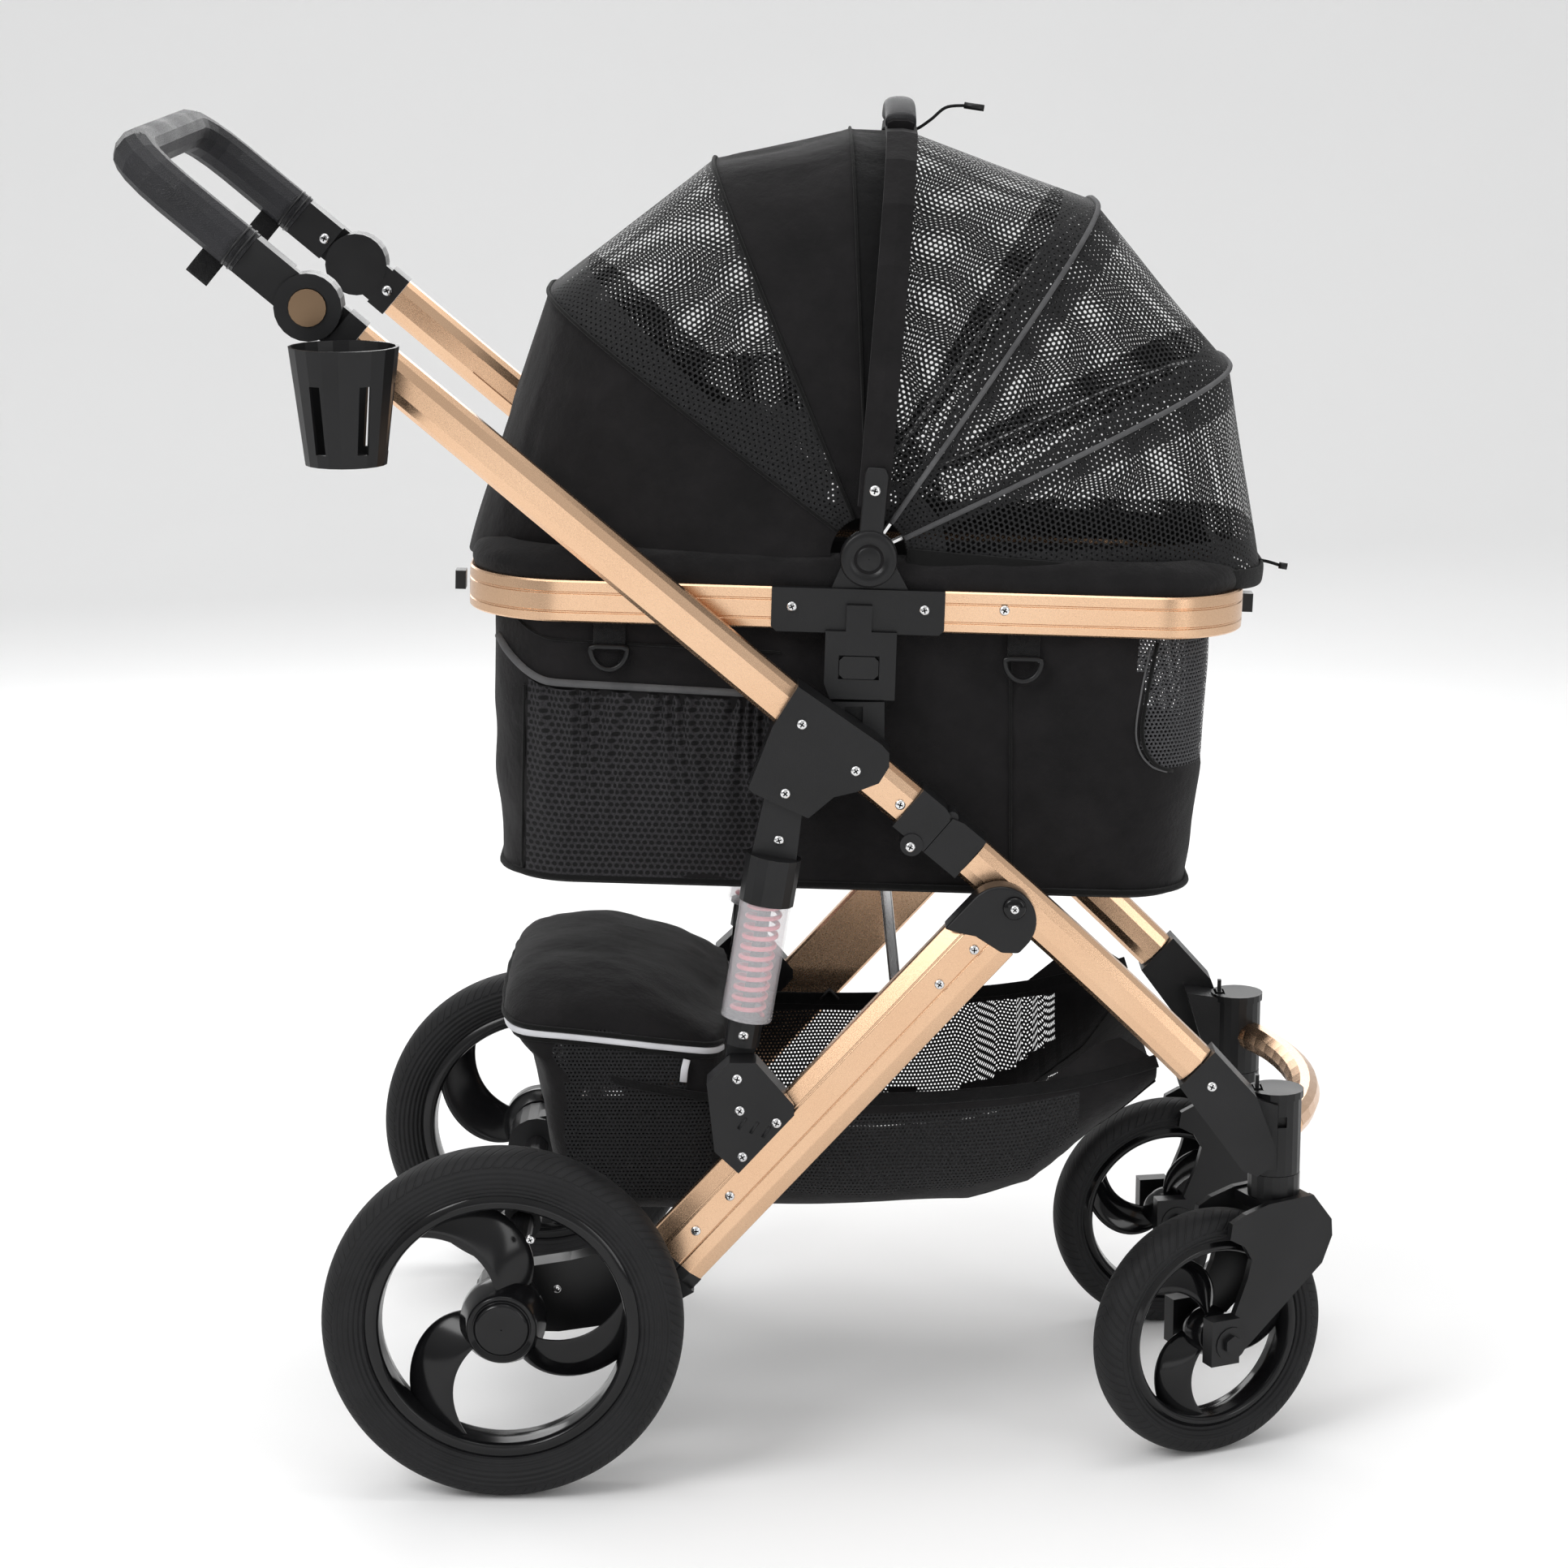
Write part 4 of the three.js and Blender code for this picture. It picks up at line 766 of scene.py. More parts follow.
def wheel(tag, kind, centre, axis, side, radius, bead, opening, hub, half):
    half_profile = tyre_profile(radius, bead, half)
    lengths = [0.0]
    for a, b in zip(half_profile, half_profile[1:]):
        lengths.append(lengths[-1] + math.dist(a, b))
    section = [(r, -o, -s) for (r, o), s in zip(half_profile[::-1], lengths[::-1])]
    section += [(r, o, s) for (r, o), s in zip(half_profile[1:], lengths[1:])]
    axis = Vector(axis).normalized()
    u = Vector((0, 0, 1)) - axis * axis.z
    u.normalize()
    v = axis.cross(u)
    count, verts, uv = 144, [], []
    turns = round(2 * math.pi * radius / TREAD_PITCH) * TREAD_PITCH
    for r, o, s in section:
        for k in range(count + 1):
            a = 2 * math.pi * k / count
            verts.append(centre + axis * o + (u * math.cos(a) + v * math.sin(a)) * r)
            uv.append((turns * k / count, s))
    body = f"{kind}_wheel_{tag}"
    obj = build(f"{kind}_tyre_look_{tag}", verts, grid_faces(len(section), count + 1), RUBBER, body,
                True, uv)
    recalc(obj)
    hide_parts(f"{kind}_tyre_{tag}")
    lip = half * 0.70
    ring = [(opening + 0.001, -lip), (opening + 0.0005, -lip * 0.8), (opening, -lip * 0.4),
            (opening - 0.001, 0),
            (opening, lip * 0.4), (opening + 0.0005, lip * 0.8), (opening + 0.001, lip),
            (opening + 0.003, lip + 0.0022),
            (opening + 0.006, lip + 0.0026), (bead - 0.002, lip + 0.0015), (bead + 0.001, lip),
            (bead + 0.001, -lip), (bead - 0.002, -lip - 0.0015), (opening + 0.006, -lip - 0.0026),
            (opening + 0.003, -lip - 0.0022)]
    parts = [lathe(f"rim_ring_{kind}_{tag}", ring, centre, axis, GLOSS, body, count=96, close=True)]
    for i in range(3):
        parts.append(blade(kind, tag, i, centre, axis, u, v, side, hub, opening, half))
    s = side
    if kind == "rear":
        cap = [(0.0005, s * 0.0215), (0.012, s * 0.0222), (0.0195, s * 0.0222), (0.0212, s * 0.0205),
               (0.0222, s * 0.0185),
               (0.0262, s * 0.0215), (0.0278, s * 0.0195), (0.0292, s * 0.012), (0.034, s * 0.003),
               (0.034, -s * 0.012),
               (0.026, -s * 0.020), (0.0005, -s * 0.020)]
    else:
        cap = [(0.0005, s * half * 0.9), (0.011, s * half * 0.9), (0.0155, s * half * 0.8),
               (0.0175, s * half * 0.55),
               (0.0205, s * half * 0.1), (0.0205, -s * half * 0.1), (0.0175, -s * half * 0.55),
               (0.0155, -s * half * 0.8),
               (0.011, -s * half * 0.9), (0.0005, -s * half * 0.9)]
    parts.append(lathe(f"hub_{kind}_{tag}", cap, centre, axis, GLOSS, body, count=64))
    rim = joined(f"{kind}_rim_look_{tag}", parts, body)
    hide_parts(f"{kind}_rim_{tag}")
    modifier(rim, "BEVEL", width=0.0006, segments=2, limit_method="ANGLE", angle_limit=math.radians(38))


def blade(kind, tag, i, centre, axis, u, v, side, hub, opening, half):
    """A wide curved blade, twisted so that one edge stands proud of the other."""
    rows, cols = 22, 12
    turn = i * 2 * math.pi / 3 + (0.35 if kind == "rear" else 0.1)
    layers = []
    for face in (1, -1):
        for a in range(rows):
            t = a / (rows - 1)
            r = hub * 0.75 + (opening + 0.003 - hub * 0.75) * t
            lead, trail = 0.50 + 0.62 * t ** 1.6, -0.42 + 0.98 * t ** 1.35
            for b in range(cols):
                w = b / (cols - 1)
                angle = turn + side * (trail + (lead - trail) * w)
                ridge = math.sin(math.pi * w) ** 0.6
                offset = (w - 0.5) * half * (0.95 - 0.35 * t) + face * (0.0012 + 0.0032 * ridge)
                way = u * math.cos(angle) + v * math.sin(angle)
                layers.append(centre + axis * offset * side + way * r)
    faces = grid_faces(rows, cols)
    back = [tuple(rows * cols + i for i in f[::-1]) for f in grid_faces(rows, cols)]
    rim_loop = [j for j in range(cols)] + [a * cols + cols - 1 for a in range(1, rows)]
    rim_loop += [(rows - 1) * cols + j for j in range(cols - 2, -1, -1)] + [a * cols for a in range(rows - 2,
                                                                                                    0, -1)]
    edge = []
    for a, b in zip(rim_loop, rim_loop[1:] + rim_loop[:1]):
        edge.append((a, b, b + rows * cols, a + rows * cols))
    obj = build(f"blade_{kind}_{tag}_{i}", layers, faces + back + edge, GLOSS)
    recalc(obj)
    return obj


YAW = {"L": 0.175, "R": 0.45}
for tag, side in SIDES:
    wheel(tag, "rear", pt(REAR_AXLE.x, side * 264.5, REAR_AXLE.y), (0, 1, 0), side,
          0.1425, 0.1075, 0.096, 0.028, 0.0225)
    yaw = YAW[tag]
    wheel(tag, "front", pt(CASTER_X - CASTER_TRAIL * math.cos(yaw),
                           side * 145.5 - CASTER_TRAIL * math.sin(yaw), 101.5),
          (-math.sin(yaw), math.cos(yaw), 0), side, 0.1015, 0.078, 0.069, 0.017, 0.0175)

# ------------------------------------------------------------------ canopy


def arch_points(radius, half, count, clear=30):
    """Across and out of the canopy's hoop shape, in millimetres, from one foot to the other."""
    first = math.asin((clear / radius) ** (CANOPY["power"] / 2))
    out = []
    for k in range(count):
        a = first + (math.pi - 2 * first) * k / (count - 1)
        c = math.cos(a)
        out.append((math.copysign(abs(c) ** (2 / CANOPY["power"]) * half, c),
                    math.sin(a) ** (2 / CANOPY["power"]) * radius))
    return [Vector(p) for p in out]


def even_arch(radius, half, count, clear=30):
    """The same shape as evenly spaced (point, length run)."""
    dense = arch_points(radius, half, 900, clear)
    return [(dense[k].lerp(dense[k + 1], t), run) for k, t, run in spaced(dense, count, count - 1)]


ARCH_COLUMNS = 96
ARCH = even_arch(CANOPY["radius"], CANOPY["half"], ARCH_COLUMNS)


def canopy_panel(name, stations, rows_per, material_of, wrinkle, slump=0.018):
    """One continuous cloth over the arches at the given angles; it draws in a little between them."""
    angles, spans = [], []
    for index, (a, b) in enumerate(zip(stations, stations[1:])):
        rows = max(6, int(abs(b - a) * rows_per))
        for k in range(rows):
            angles.append((a + (b - a) * k / rows, math.sin(math.pi * k / rows), index))
        spans.append((a, b))
    angles.append((stations[-1], 0.0, len(stations) - 2))
    verts = []
    for angle, dip, index in angles:
        a = math.radians(angle)
        for p, s in ARCH:
            across, out = p
            share = out / CANOPY["radius"]
            fold = wrinkle(angle, s, dip)
            taut = math.cos(math.radians(spans[index][1] - spans[index][0]) / 2) / math.cos(
                math.radians(angle - sum(spans[index]) / 2))
            out2 = out * (1 + (taut - 1) * 0.92 * share) * (1 - slump * 0.25 * dip * share) + fold * share
            across2 = across * (1 - 0.012 * dip) + math.copysign(min(abs(fold), 3),
                                                                 across) * 0.5 * (1 - share)
            verts.append(cab(CANOPY["x"] + out2 * math.cos(a), across2, CANOPY["z"] + out2 * math.sin(a)))
    rows = len(angles)
    faces = grid_faces(rows, ARCH_COLUMNS)
    materials, index = [], []
    uv_loops = []
    for i in range(rows - 1):
        middle = sum(spans[angles[i][2]]) / 2
        for j in range(ARCH_COLUMNS - 1):
            mid_angle = (angles[i][0] + angles[i + 1][0]) / 2
            material = material_of(mid_angle, ARCH[j][0].y)
            if material not in materials:
                materials.append(material)
            index.append(materials.index(material))
            for row, col in ((i, j), (i, j + 1), (i + 1, j + 1), (i + 1, j)):
                out = max(ARCH[col][0].y, 60)
                uv_loops.append((math.radians(angles[row][0] - middle) * out / 1000, ARCH[col][1] / 1000))
    obj = build(name, verts, faces, materials, None, True, None, index)
    layer = obj.data.uv_layers.new(name="UVMap")
    layer.data.foreach_set("uv", np.array(uv_loops, np.float32).ravel())
    return obj


def rear_material(angle, out):
    if angle < HOOP + 7:
        return SLEEVE
    if angle < R1 or angle > R2:
        return FABRIC
    if angle > R2 - 7 or out < 125 + (angle - R1) * 2.2 or angle < R1 + 1.2:
        return NET_DOUBLE
    return NET


def front_material(angle, out):
    if angle > HOOP - 1.5:
        return FABRIC
    near = min(abs(angle - F1), abs(angle - F2))
    if near < 4.6 or out < 62 or angle < EDGE + 6:
        return NET_DOUBLE
    return NET


def rear_wrinkle(angle, s, dip):
    low = noise.noise(Vector((angle * 0.045, s * 0.028, 1.7)))
    fine = noise.noise(Vector((angle * 0.09, s * 0.085, 4.1)))
    lines = noise.noise(Vector((angle * 0.02, s * 0.075, 8.3)))
    amount = 3.6 if angle < R1 else (1.0 if angle < R2 else 3.0)
    return dip ** 0.6 * amount * (0.8 * low + 0.5 * fine + 0.7 * lines)


def front_wrinkle(angle, s, dip):
    return dip * 1.2 * noise.noise(Vector((angle * 0.07, s * 0.03, 7.3)))


def canopy_area(a, b):
    turn = abs(math.radians(b - a))
    return sum(turn * (p.y + q.y) / 2 * (t - s) for (p, s), (q, t) in zip(ARCH, ARCH[1:])) / 1e6


def canopy_sheet(a, b):
    """Works out the area of the flat gores the panel was cut from; nothing is done with it."""
    area = canopy_area(a, b)


def angle_weights(start, end):
    """Finds the centre of the canopy's hub; no weights are worked out."""
    centre = cab(CANOPY["x"], 0, CANOPY["z"])


rear = canopy_panel("canopy_rear_cloth", [HOOP - 2, HOOP + 7, R1, R2, REAR], 0.75, rear_material,
                    rear_wrinkle)
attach(rear, "cabin")
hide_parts("canopy_rear")
canopy_sheet(HOOP - 2, REAR)

panel_a = canopy_panel("canopy_net_a", [HOOP - 1, F1], 0.8, front_material, front_wrinkle, 0.024)
cab(CANOPY["x"], 0, 300)
cab(CANOPY["x"] + 200, 0, 200)
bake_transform(panel_a)
angle_weights(HOOP - 1, F1)
canopy_sheet(HOOP - 1, F1)
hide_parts("canopy_front")

panel_b = canopy_panel("canopy_net_b", [F1, F2], 0.8, front_material, front_wrinkle, 0.024)
cab(CANOPY["x"] + 150, 0, 250)
cab(CANOPY["x"] + 250, 0, 150)
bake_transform(panel_b)
angle_weights(F1, F2)
canopy_sheet(F1, F2)

panel_c = canopy_panel("canopy_net_c", [F2, EDGE], 0.8, front_material, front_wrinkle, 0.014)
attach(panel_c, "rib_f2")
canopy_sheet(F2, EDGE)


def arch_band(name, angle, body, material, section, grow=0.6, count=120, clear=30):
    """A binding that follows the canopy's arch at one angle."""
    a = math.radians(angle)
    path = [cab(CANOPY["x"] + (p.y + grow) * math.cos(a), p.x * (1 + grow / 141),
                CANOPY["z"] + (p.y + grow) * math.sin(a))
            for p, _ in even_arch(CANOPY["radius"], CANOPY["half"], count, clear)]
    return tube(name, path, section, material, body, up=(math.sin(a), 0, -math.cos(a)))


arch_band("piping_f1", F1, "rib_f1", GREY_PIPE, 0.0021, 1.2)
arch_band("piping_f2", F2, "rib_f2", GREY_PIPE, 0.0021, 1.2)
arch_band("piping_r1", R1, "cabin", PIPING, 0.0016, 0.8)
arch_band("piping_r2", R2, "cabin", PIPING, 0.0016, 0.8)
arch_band("front_hem", EDGE, "rib_f2", PIPING, oval(0.016, 0.004, 16, 3), 0.4)
arch_band("sleeve_edge", HOOP + 7, "cabin", PIPING, 0.0012, 0.7)


def rounded_rect(x0, x1, half, corner, count):
    """Evenly spaced points round a rounded rectangle, with their outward directions."""
    dense, normals = [], []
    centres = ((x1 - corner, half - corner, 0), (x0 + corner, half - corner, 90),
               (x0 + corner, -half + corner, 180), (x1 - corner, -half + corner, 270))
    for cx, cy, start in centres:
        for k in range(25):
            a = math.radians(start + 90 * k / 24)
            dense.append(Vector((cx + corner * math.cos(a), cy + corner * math.sin(a))))
            normals.append(Vector((math.cos(a), math.sin(a))))
    dense.append(dense[0].copy())
    normals.append(normals[0].copy())
    return [(dense[k].lerp(dense[k + 1], t), normals[k].lerp(normals[k + 1], t).normalized(), run)
            for k, t, run in spaced(dense, count, count)]


def ring_band(name, levels, material, body="cabin", count=200, wrinkle=0.0):
    """Cloth round the cabin: levels are (x0, x1, half, corner, z)."""
    verts, uv = [], []
    for x0, x1, half, corner, z in levels:
        for p, n, s in rounded_rect(x0, x1, half, corner, count):
            push = wrinkle * noise.noise(Vector((s * 0.03, z * 0.07, 2.2))) if wrinkle else 0
            verts.append(cab(p.x + n.x * push, p.y + n.y * push, z))
            uv.append((s / 1000, z / 1000))
    obj = build(name, verts, grid_faces(len(levels), count, close_cols=True), material, body, True,
                uv)
    recalc(obj)
    return obj


hem_levels = []
for k in range(12):
    t = k / 11
    puff = math.sin(math.pi * t) ** 0.7 * 4.5
    inset = 14 * t ** 3
    hem_levels.append((-304 - puff + inset, 303 + puff - inset, 146 + puff * 0.7 - inset * 0.7, 74,
                       15 + 27 * t))
hem = ring_band("canopy_hem", hem_levels, FABRIC, wrinkle=2.2)

# ------------------------------------------------------------------ hub discs of the hoop
BOLT_UP = 54
for tag, side in SIDES:
    hub_at = cab(CANOPY["x"], side * 162.4, CANOPY["z"])
    disc = [(0.0005, 0.0012), (0.0085, 0.0012), (0.0098, 0.0006), (0.0104, -0.0006), (0.0112, -0.0006),
            (0.0120, 0.0016),
            (0.0205, 0.0014), (0.0222, 0.0002), (0.0226, -0.0030), (0.0226, -0.0085)]
    lathe(f"hoop_hub_{tag}", disc, hub_at, (0, side, 0), BLACK, "cabin")
    foot = [(-9.5, 18), (9.5, 18), (10, 66), (7, 72), (-7, 72), (-9, 66)]
    turn = math.radians(HOOP)
    outline = [(CANOPY["x"] + math.sin(turn) * u + math.cos(turn) * w,
                CANOPY["z"] - math.cos(turn) * u + math.sin(turn) * w)
               for u, w in foot]
    plate(f"hoop_foot_{tag}", outline, side * 156.0, side * 161.2, BLACK, "cabin", bevel=0.0016,
          world=lambda p, y: cab(p[0], y, p[1]))
    bolt = cab(CANOPY["x"] + math.cos(turn) * BOLT_UP, side * 161.0, CANOPY["z"] + math.sin(turn) * BOLT_UP)
    screws(f"hoop_bolt_{tag}", [(bolt, (0, side, 0))], "cabin", 0.0046)

# ------------------------------------------------------------------ rim profile
RIM_SECTION = [(-6.3, -16), (-5.6, -16.5), (5.0, -16.5), (6.3, -15.2), (6.5, -9.4), (5.7, -8.7), (5.7, -7.9),
               (6.5, -7.2),
               (6.5, 5.6), (5.7, 6.3), (5.7, 7.1), (6.5, 7.8), (6.3, 15.2), (5.0, 16.5), (-5.6, 16.5),
               (-6.3, 16)]
rim_loop = rounded_rect(-310, 310, 152, 78, 300)
verts = []
for p, n, _ in rim_loop:
    for out, up in RIM_SECTION:
        verts.append(cab(p.x + n.x * (out - 6.5), p.y + n.y * (out - 6.5), up))
rim_obj = build("rim_profile", verts, grid_faces(300, len(RIM_SECTION), True, True), GOLD, "cabin",
                True)
recalc(rim_obj)
rim_obj.data.set_sharp_from_angle(angle=math.radians(30))
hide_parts("rim_frame")

# ------------------------------------------------------------------ carrying grip on the hoop
grip = [cab(23, -56 + 112 * k / 30, 370 + 14 * math.sin(math.pi * (k + 1) / 32) ** 0.6) for k in range(31)]
tube("carry_grip_wrap", grip, oval(0.0245, 0.0142, 28, 2.4), LEATHER, "cabin", up=(1, 0, 0))

# ------------------------------------------------------------------ cabin body


WALL_TOP, WALL_DEEP, CORNER = 12, 245, 60


def wall_dims(z):
    k = (WALL_TOP - z) / WALL_DEEP
    return -288 + 9 * k, 284 - 9 * k, 136 - 3 * k


def belly(z):
    """How far the wall bulges at one height."""
    return 3.5 * math.sin(math.pi * min(1, (WALL_TOP - z) / WALL_DEEP))


def wall_y(x, z):
    """Distance of a side wall from the middle plane, round the corners too."""
    x0, x1, half = wall_dims(z)
    near = min(CORNER - 1, max(0.0, x0 + CORNER - x, x - (x1 - CORNER)))
    return half - CORNER + math.sqrt(CORNER ** 2 - near ** 2) + belly(z)


def wall_ring(z, count, out=0.0):
    """Points of the cabin wall at one height: (point, outward, length), pushed out by `out`."""
    return [(p + n * (belly(z) + out), n, s) for p, n, s in rounded_rect(*wall_dims(z), CORNER, count)]


def window_at(x, y, z):
    """The see-through strip round each front corner, with a rounded lower edge."""
    low = -126 + 26 * max(0.0, (1 - (x - 226) / 26)) ** 2 if x < 252 else -126
    return x > 226 and abs(y) > 52 and z > low


WALL_COUNT, WALL_ROWS = 232, 46
levels = [WALL_TOP - (WALL_TOP + 224) * k / (WALL_ROWS - 1) for k in range(WALL_ROWS)]
verts, uv, at_local = [], [], []
for z in levels:
    for p, n, s in wall_ring(z, WALL_COUNT):
        quiet = 0.25 if window_at(p.x, p.y, z) else 1.0
        sag = 3.4 * noise.noise(Vector((s * 0.011, z * 0.022, 3.3)))
        sag += 0.9 * noise.noise(Vector((s * 0.05, z * 0.03, 9.0)))
        sag *= quiet * min(1, (WALL_TOP - z) / 40)
        verts.append(cab(p.x + n.x * sag, p.y + n.y * sag, z))
        uv.append((s / 1000, z / 1000))
        at_local.append((p.x, p.y, z))
for inset, z in ((2, -229), (6, -232.5), (14, -234), (40, -233.5), (80, -233), (118, -232.6)):
    x0, x1, half = wall_dims(-224)
    for p, n, s in rounded_rect(x0 + inset, x1 - inset, half - inset, max(4, CORNER - inset), WALL_COUNT):
        verts.append(cab(p.x, p.y, z))
        uv.append((p.x / 1000, p.y / 1000))
        at_local.append((p.x, p.y, z))
rings = WALL_ROWS + 6
faces = grid_faces(rings, WALL_COUNT, close_cols=True)
last = (rings - 1) * WALL_COUNT
faces.append(tuple(last + k for k in range(WALL_COUNT)))
index = []
for f in faces:
    x, y, z = (sum(at_local[i][a] for i in f) / len(f) for a in range(3))
    index.append(1 if len(f) == 4 and window_at(x, y, z) and z < 6 else 0)
shell = build("cabin_cloth", verts, faces, [FABRIC, WINDOW], "cabin", True, uv, index)
recalc(shell)
modifier(shell, "SOLIDIFY", thickness=CLOTH, offset=-1)
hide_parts("cabin_shell")


def wall_run(x_from, x_to, side, z, out=0.6, count=40):
    """A line along one side wall, in cabin lengths."""
    points = []
    for k in range(count):
        x = x_from + (x_to - x_from) * k / (count - 1)
        level = z(x) if callable(z) else z
        ring = wall_ring(level, 400, out)
        best = min(((p, n) for p, n, _ in ring if p.y * side > 0), key=lambda pn: abs(pn[0].x - x))
        points.append(cab(x, best[0].y, level))
    return points


def wall_drop(x, side, z0, z1, out=0.8, count=24, lean=0.0):
    points = []
    for k in range(count):
        z = z0 + (z1 - z0) * k / (count - 1)
        at = x + lean * k / (count - 1)
        points.append(wall_run(at, at + 1, side, z, out, 2)[0])
    return points


def pipe_level(x):
    """Height of the reflective piping: it rises round the rear corner."""
    return -66 - 6 * (x + 288) / 220 + 32 * max(0.0, (-238 - x) / 50) ** 2


ring_bottom = [cab(p.x, p.y, -227) for p, n, s in wall_ring(-227, 160, 0.8)]
tube("bottom_roll", ring_bottom, 0.0026, PIPING, "cabin", closed=True, up=(0, 0, 1))
ring_top = [cab(p.x, p.y, -17) for p, n, s in wall_ring(-17, 160, 0.2)]
tube("top_binding", ring_top, oval(0.002, 0.010, 10, 3), SLEEVE, "cabin", closed=True, up=(0, 0, 1))

for tag, side in SIDES:
    tube(f"reflective_piping_{tag}", wall_run(-285, -48, side, pipe_level, 2.4, 70), 0.0030, GREY_PIPE,
         "cabin")
    tube(f"seam_rear_{tag}", wall_drop(-262, side, -72, -224), 0.0012, PIPING, "cabin")
    tube(f"seam_front_{tag}", wall_drop(122, side, -30, -224, lean=8), 0.0011, PIPING, "cabin")
    tube(f"seam_hem_{tag}", wall_run(-280, -60, side, lambda x: pipe_level(x) + 34, 0.8, 50), 0.0010, PIPING,
         "cabin")
    # gathered net pocket: fuller at the top where the elastic draws it in
    cols, rows = 130, 44
    verts, uv = [], []
    for i in range(rows):
        t = i / (rows - 1)
        for j in range(cols):
            w = j / (cols - 1)
            x = -259 + 205 * w
            z = (pipe_level(x) - 5) * (1 - t) + (-225) * t
            stray = 1.4 * noise.noise(Vector((w * 7, t * 1.2, 5.5)))
            gather = math.sin(2 * math.pi * (w * 12 + stray)) * 2.6 * (1 - t) ** 1.5
            slack = 7.5 * math.sin(math.pi * min(1, t * 1.08)) ** 0.8 * math.sin(math.pi * w) ** 0.5
            soft = 1.6 * noise.noise(Vector((w * 11, t * 5, 2.0 + side))) * math.sin(math.pi * t)
            ring = 1.8 + (slack + gather + soft) * min(1, w * 14, (1 - w) * 14)
            verts.append(cab(x, side * (wall_y(x, z) + ring), z))
            uv.append((x / 1000 * 1.12 + 0.0012 * gather, z / 1000))
    pocket = build(f"net_pocket_{tag}", verts, grid_faces(rows, cols), POCKET, "cabin", True, uv)
    recalc(pocket)
    for x, name in ((-195, "rear"), (132, "front")):
        top = wall_run(x, x + 1, side, -14, 2.2, 2)[0]
        low = wall_run(x, x + 1, side, -37, 3.2, 2)[0]
        tube(f"d_strap_{name}_{tag}", smooth_path([top, (top + low) / 2 + Vector((0, side * 0.0008, 0)), low],
                                                  8),
             oval(0.0255, 0.0024, 16, 5), WEBBING, "cabin", up=(1, 0, 0))
        turns = [math.pi * k / 35 for k in range(36)]
        loop = [(math.cos(a) * 14.5, -38 - math.sin(a) * 17) for a in turns]
        loop += [(-14.5 + 29 * k / 8, -37) for k in range(1, 8)]
        path = [cab(x + u, side * (wall_dims(-48)[2] + 7.8), v) for u, v in loop]
        tube(f"d_ring_{name}_{tag}", path, 0.0023, BLACK, "cabin", closed=True, up=(0, 1, 0))
    # frame of the window and its lining
    edge = [(238, -22), (232, -60), (229, -92), (233, -110), (243, -122), (256, -127.5)]
    for n_edge, (dx, radius, mat) in enumerate(((0, 0.0016, PIPING), (-5, 0.0008, GREY_PIPE))):
        line = smooth_path([(x + dx, 0, z) for x, z in edge], 30)
        path = [cab(p.x, side * (wall_y(p.x, p.z) + 0.8), p.z) for p in line]
        tube(f"window_edge_{n_edge}_{tag}", path, radius, mat, "cabin")

# ------------------------------------------------------------------ cushion in the cabin


def cushion():
    """A padded rectangle, blown up a little as cloth so that its edges pucker."""
    count, rows = 120, 9
    verts = []
    for k in range(rows):
        t = k / (rows - 1)
        z = -228 + 27 * t
        round_in = 9 * (1 - math.sin(math.pi * (0.08 + 0.84 * t)) ** 0.5)
        for p, n, s in rounded_rect(-246 + round_in, 242 - round_in, 115 - round_in, 52, count):
            verts.append(cab(p.x, p.y, z))
    faces = grid_faces(rows, count, close_cols=True)
    faces += [tuple(range(count)), tuple((rows - 1) * count + k for k in range(count))[::-1]]
    obj = build("cabin_cushion_soft", verts, faces, PAD)
    recalc(obj)
    remesh = modifier(obj, "REMESH", mode="VOXEL", voxel_size=0.0062)
    remesh.use_smooth_shade = True
    bpy.context.view_layer.objects.active = obj
    bpy.ops.object.modifier_apply(modifier=remesh.name)
    before = np.array([v.co for v in obj.data.vertices])
    pins = obj.vertex_groups.new(name="tack")
    for v in obj.data.vertices:
        for gx in (-165, -55, 55, 165):
            if (v.co - cab(gx, 0, -201)).length < 0.016:
                pins.add([v.index], 1.0, "REPLACE")
    cloth = modifier(obj, "CLOTH")
    settings = cloth.settings
    settings.quality = 6
    settings.mass = 0.25
    settings.tension_stiffness = settings.compression_stiffness = 18
    settings.bending_stiffness = 1.2
    settings.use_pressure = True
    settings.uniform_pressure_force = 3.5
    settings.effector_weights.gravity = 0
    settings.vertex_group_mass = "tack"
    cloth.collision_settings.use_collision = False
    for f in range(1, 16):
        scene.frame_set(f)
    bpy.ops.object.modifier_apply(modifier=cloth.name)
    scene.frame_set(1)
    moved = np.array([v.co for v in obj.data.vertices]) - before
    size = np.linalg.norm(moved, axis=1)
    share = np.minimum(1, 0.007 / np.maximum(size, 1e-9))[:, None]
    obj.data.vertices.foreach_set("co", (before + moved * share).astype(np.float32).ravel())
    data = obj.data
    layer = data.uv_layers.new(name="UVMap")
    layer.data.foreach_set("uv", np.array([(data.vertices[l.vertex_index].co.x,
                                            data.vertices[l.vertex_index].co.y)
                                           for l in data.loops], np.float32).ravel())
    data.polygons.foreach_set("use_smooth", [True] * len(data.polygons))
    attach(obj, "cabin")
    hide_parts("cabin_cushion")
    edge = [cab(p.x, p.y, -213) for p, n, s in rounded_rect(-248, 244, 117, 54, 160)]
    tube("cushion_piping", edge, 0.0022, WEBBING, "cabin", closed=True, up=(0, 0, 1))


cushion()

# ------------------------------------------------------------------ basket
BAG = [(-229, 353), (-225, 370), (-208, 382), (-175, 389), (-140, 387), (-95, 372), (-57, 348), (-45, 330),
       (-43, 200), (-62, 186), (-178, 190), (-188, 212), (-204, 310), (-222, 340)]
ZIP_LINE = [(-229, 352), (-200, 347), (-167, 341), (-57, 321), (-43, 318)]


